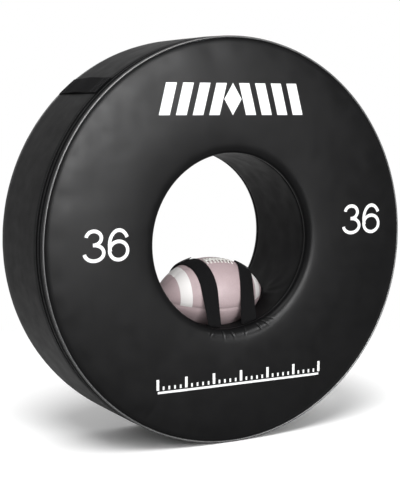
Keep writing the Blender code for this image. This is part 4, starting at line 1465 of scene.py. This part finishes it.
def makeFoot(name, node, line, side):
    thick = strap["thickness"]
    x = line.plan(side * line.reach, 0)[0]
    middle = -pi / 2 + asin(x / wheel["bore"])
    outer = wheel["bore"] - wheel["gap"]
    far, near = boreSeam - strap["footInset"], boreSeam - strap["footInset"] - strap["foot"]
    section = stripSection(strap["width"], thick, strapShape["across"])
    rings, places = [], []
    for k in range(13):
        y = near + (far - near) * k / 12
        rings.append([onWheel(outer - height, side * y, middle + aside / outer) for aside, height in section])
        places.append([(y, aside) for aside, _ in section])
    loftPiece(name, rings, webbing, "wheel", (node,), places=places)
    half = strap["width"] / 2 - strap["stitchMargin"]
    spots = []
    for inset in strap["footStitches"]:
        count = int(2 * half / stitch["pitch"])
        spots += [(-half + 2 * half * (k + 0.5) / count, near + inset) for k in range(count)]

    def route(share):
        aside, y = spots[min(len(spots) - 1, int(share * len(spots)))]
        angle = middle + aside / outer
        return onWheel(outer - thick, side * y, angle), forward(angle), -outward(angle)
    stitchRow(name + "Stitches", route, len(spots))


def makeStraps():
    frontLow = strap["seat"]
    loopLow = frontLow + strap["thickness"] + strap["layerGap"]
    hookLow = loopLow + strap["fastener"]
    rearLow = hookLow + strap["fastener"] + strap["layerGap"]
    for hand in ("left", "right"):
        line = StrapLine(strap[hand])
        front, rear = hand + "_strap_front", hand + "_strap_rear"
        makeStrapHalf(hand + "StrapFront", front, front, line, -1, frontLow, strap["endShare"])
        makeStrapHalf(hand + "StrapRear", rear, rear, line, 1, rearLow, strap["startShare"])
        makePatch(hand + "LoopPatch", hand + "_strap_loop_patch", front, pile, line, loopLow, "loop")
        makePatch(hand + "HookPatch", hand + "_strap_hook_patch", rear, hooks, line, hookLow, "hook")
        makeFoot(hand + "FrontFoot", hand + "_strap_foot_front", line, -1)
        makeFoot(hand + "RearFoot", hand + "_strap_foot_rear", line, 1)


makeStraps()
print("straps made")


# Print on the front face: two plain numbers, a row of bars and a scale, as thin ink on the vinyl

ink = {"lift": 0.00012, "thickness": 0.00022, "layer": 0.2, "shares": (-1, -0.5, 0, 0.5, 1)}
faceTree = BVHTree.FromPolygons([v.co for v in frontFace.data.vertices],
                                [tuple(p.vertices) for p in frontFace.data.polygons])


def onFace(x, z, lift):  # a point of the front face, x and z from the wheel's centre
    spot = Vector((x, -0.3, axleHeight + z))
    hit = faceTree.ray_cast(spot, Vector((0, 1, 0)))[0]
    return Vector((x, hit.y - lift, axleHeight + z))


def inkRing(middle, side, low):  # one section of a printed line, its outer side first
    high = low + ink["thickness"]
    return ([onFace(*(middle + side * share), high) for share in ink["shares"]]
            + [onFace(*(middle - side * share), low) for share in ink["shares"]])


def inkStroke(verts, faces, middles, width, layer=0):  # a printed line along middles, drawn on the face
    low = ink["lift"] * (1 + ink["layer"] * layer)
    rings = []
    for k, middle in enumerate(middles):
        before, after = Vector(middles[max(k - 1, 0)]), Vector(middles[min(k + 1, len(middles) - 1)])
        run = (after - before).normalized()
        rings.append(inkRing(Vector(middle), Vector((-run.y, run.x)) * width / 2, low))
    addBody(verts, faces, rings)


def inkBar(verts, faces, line):  # a bar with level sections, each an x, a z and a half width
    rings = [inkRing(Vector((x, z)), Vector((half, 0)), ink["lift"]) for x, z, half in line]
    addBody(verts, faces, rings)


def arcPoints(centre, radii, start, end, steps=28):
    return [(centre[0] + radii[0] * cos(radians(start + (end - start) * k / steps)),
             centre[1] + radii[1] * sin(radians(start + (end - start) * k / steps)))
             for k in range(steps + 1)]


numbers = {"height": 0.0706, "digit": 0.0488, "pitch": 0.0545, "stroke": 0.0076,
           "left": (-0.3657, 0.0089), "right": (0.2915, 0.0375)}


def digitStrokes(digit):  # centre lines in a box 1 wide and 1 high
    if digit == 3:
        return [arcPoints((0.45, 0.765), (0.42, 0.235), 172, -80),
                arcPoints((0.46, 0.265), (0.54, 0.265), 96, -172)]
    return [arcPoints((0.54, 0.5), (0.54, 0.5), 205, 30, 30),
            arcPoints((0.52, 0.31), (0.52, 0.31), 0, 360, 40)]


def makeNumbers():
    for name, (left, middle) in (("leftNumber", numbers["left"]), ("rightNumber", numbers["right"])):
        verts, faces = [], []
        wide, high = numbers["digit"] - numbers["stroke"], numbers["height"] - numbers["stroke"]
        for place, digit in enumerate((3, 6)):
            x0 = left + place * numbers["pitch"] + numbers["stroke"] / 2
            z0 = middle - high / 2
            for layer, line in enumerate(digitStrokes(digit)):
                middles = [(x0 + wide * x, z0 + high * z) for x, z in line]
                inkStroke(verts, faces, middles, numbers["stroke"], layer)
        meshPiece(name, verts, faces, printInk, "wheel", sharp=60)


bars = {"low": 0.282, "high": 0.352, "left": -0.190, "right": 0.175, "count": 4, "stroke": 0.026,
        "pitch": 0.041, "lean": 0.018, "steps": 14, "diamondSteps": 16, "tip": 0.0004, "slim": 0.62}
scale = {"low": -0.324, "high": -0.292, "left": -0.195, "right": 0.225, "ticks": 31, "stroke": 0.0042,
         "short": 0.5, "line": 0.005, "clear": 1.6, "every": 5, "bold": 1.5, "steps": 6, "lineSteps": 60}


def makeBars():  # slanted bars that lean towards a diamond in the middle
    verts, faces = [], []
    middle = (bars["left"] + bars["right"]) / 2
    low, tall = bars["low"], bars["high"] - bars["low"]
    shares = [k / bars["steps"] for k in range(bars["steps"] + 1)]
    for side in (-1, 1):
        for k in range(bars["count"]):
            foot = (bars["right"] - middle) - bars["stroke"] / 2 - k * bars["pitch"]
            line = [(middle + side * (foot - bars["lean"] * share), low + tall * share, bars["stroke"] / 2)
                    for share in shares]
            inkBar(verts, faces, line)
    diamond = []
    for k in range(bars["diamondSteps"] + 1):
        rise = tall * k / bars["diamondSteps"]
        wide = (tall / 2 - abs(rise - tall / 2)) * bars["slim"]
        diamond.append((middle, low + rise, max(bars["tip"], wide)))
    inkBar(verts, faces, diamond)
    meshPiece("barRow", verts, faces, printInk, "wheel", sharp=60)


def makeScale():  # a plain scale of short and long marks
    verts, faces = [], []
    left, span = scale["left"], scale["right"] - scale["left"]
    foot = scale["low"] + scale["line"] * scale["clear"]
    for k in range(scale["ticks"]):
        x = left + span * k / (scale["ticks"] - 1)
        long = k % scale["every"] == 0
        top = scale["low"] + (scale["high"] - scale["low"]) * (1.0 if long else scale["short"])
        half = scale["stroke"] / 2 * (scale["bold"] if long else 1.0)
        line = [(x, foot + (top - foot) * s / scale["steps"], half) for s in range(scale["steps"] + 1)]
        inkBar(verts, faces, line)
    run = [(left + span * k / scale["lineSteps"], scale["low"] + scale["line"] / 2)
           for k in range(scale["lineSteps"] + 1)]
    inkStroke(verts, faces, run, scale["line"])
    meshPiece("scaleMarks", verts, faces, printInk, "wheel", sharp=60)


makeNumbers()
makeBars()
makeScale()
print("print made")


# Studio: pale floor that turns white with distance, soft light from above and from the upper left

studio = {
    "floorSize": 60.0, "floor": 0.80, "floorShown": 1.10, "fadeStart": 0.6, "fadeEnd": 1.5,
    "world": 0.56, "sun": 2.1, "sunAngle": 28, "sunAim": (0.30, 0.48, -0.83),
    "key": 40.0, "keySize": 1.2, "keyPlace": (0.2, -3.2, 1.1), "keyAim": (-0.2, 0, 0.55),
    "sheen": 340.0, "sheenSize": 1.5, "sheenPlace": (0.5, -3.2, 1.15), "sheenAim": (-0.25, 0, 0.6),
    "lip": 45.0, "lipSize": 1.8, "lipPlace": (-1.5, -1.7, 2.3), "lipAim": (0.1, 0, 0.4),
}


def makeFloor():
    size = studio["floorSize"] / 2
    mesh = bpy.data.meshes.new("studioFloor")
    mesh.from_pydata([(-size, -size, 0), (size, -size, 0), (size, size, 0), (-size, size, 0)], [],
                     [(0, 1, 2, 3)])
    floor = bpy.data.objects.new("studioFloor", mesh)
    bpy.context.collection.objects.link(floor)
    finish = bpy.data.materials.new("studioPaper")
    finish.use_nodes = True
    tree = finish.node_tree
    shader = tree.nodes["Principled BSDF"]
    shader.inputs["Roughness"].default_value = 0.9
    shader.inputs["Specular IOR Level"].default_value = 0.0
    path = addNode(finish, "LightPath")
    seen = calc(finish, "MINIMUM", 1.0, calc(finish, "ADD", path.outputs["Is Camera Ray"],
                calc(finish, "ADD", path.outputs["Is Glossy Ray"], path.outputs["Is Transmission Ray"])))
    plain, shown = studio["floor"], studio["floorShown"]
    paper = tint(finish, seen, (plain, plain, plain), (shown, shown, shown))
    join(finish, "Base Color", paper)
    place = addNode(finish, "TexCoord").outputs["Object"]
    away = addNode(finish, "VectorMath", None, {0: place}, operation="LENGTH").outputs["Value"]
    fade = addNode(finish, "MapRange", {"From Min": studio["fadeStart"], "From Max": studio["fadeEnd"]},
                   {"Value": away}, interpolation_type="SMOOTHSTEP").outputs["Result"]
    glow = addNode(finish, "Emission", {"Color": (1, 1, 1, 1), "Strength": 1.0})
    inputs = {0: calc(finish, "MULTIPLY", fade, seen), 1: shader.outputs["BSDF"], 2: glow.outputs["Emission"]}
    mix = addNode(finish, "MixShader", None, inputs)
    tree.links.new(mix.outputs["Shader"], tree.nodes["Material Output"].inputs["Surface"])
    mesh.materials.append(finish)


def makeLight():
    world = bpy.data.worlds.new("studioWorld")
    bpy.context.scene.world = world
    world.use_nodes = True
    tree = world.node_tree
    back = tree.nodes["Background"]
    path = tree.nodes.new("ShaderNodeLightPath")
    total = path.outputs["Is Camera Ray"]
    for name in ("Is Glossy Ray", "Is Transmission Ray"):
        add = tree.nodes.new("ShaderNodeMath")
        add.operation = "ADD"
        tree.links.new(total, add.inputs[0])
        tree.links.new(path.outputs[name], add.inputs[1])
        total = add.outputs[0]
    level = tree.nodes.new("ShaderNodeMapRange")
    level.inputs["To Min"].default_value = studio["world"]
    level.inputs["To Max"].default_value = 1.0
    tree.links.new(total, level.inputs["Value"])
    back.inputs["Color"].default_value = (1, 1, 1, 1)
    tree.links.new(level.outputs["Result"], back.inputs["Strength"])

    sun = bpy.data.lights.new("overheadSoft", "SUN")
    sun.energy = studio["sun"]
    sun.angle = radians(studio["sunAngle"])
    lamp = bpy.data.objects.new("overheadSoft", sun)
    lamp.rotation_euler = Vector(studio["sunAim"]).to_track_quat("-Z", "Y").to_euler()
    bpy.context.collection.objects.link(lamp)

    for name, kind in (("keySoftbox", "key"), ("sheenSoftbox", "sheen"), ("lipSoftbox", "lip")):
        box = bpy.data.lights.new(name, "AREA")
        box.energy = studio[kind]
        box.size = studio[kind + "Size"]
        lamp = bpy.data.objects.new(name, box)
        lamp.location = studio[kind + "Place"]
        aim = Vector(studio[kind + "Aim"]) - Vector(studio[kind + "Place"])
        lamp.rotation_euler = aim.to_track_quat("-Z", "Y").to_euler()
        lamp.visible_camera = False
        lamp.visible_diffuse = kind == "key"  # the others only show as gloss
        bpy.context.collection.objects.link(lamp)


photo = {"width": 400, "height": 489, "sensor": 36.0, "focalPixels": 1226.9, "centre": (207.9, 236.9),
         "azimuth": -28.8, "elevation": 5.9, "distance": 2.848}


def makeCamera():
    azimuth, elevation = radians(photo["azimuth"]), radians(photo["elevation"])
    back = Vector((sin(azimuth) * cos(elevation), -cos(azimuth) * cos(elevation), sin(elevation)))
    right = Vector((cos(azimuth), sin(azimuth), 0))
    up = back.cross(right)
    camera = bpy.data.cameras.new("photoCamera")
    camera.sensor_width = photo["sensor"]
    camera.lens = photo["focalPixels"] * photo["sensor"] / photo["height"]
    camera.shift_x = (photo["width"] / 2 - photo["centre"][0]) / photo["height"]
    camera.shift_y = (photo["centre"][1] - photo["height"] / 2) / photo["height"]
    placed = bpy.data.objects.new("photoCamera", camera)
    turn = Matrix((right, up, back)).transposed().to_4x4()
    placed.matrix_world = Matrix.Translation(wheelCentre + back * photo["distance"]) @ turn
    bpy.context.collection.objects.link(placed)
    bpy.context.scene.camera = placed


makeFloor()
makeLight()
makeCamera()
bpy.context.scene.view_settings.view_transform = "Standard"
print("studio made")
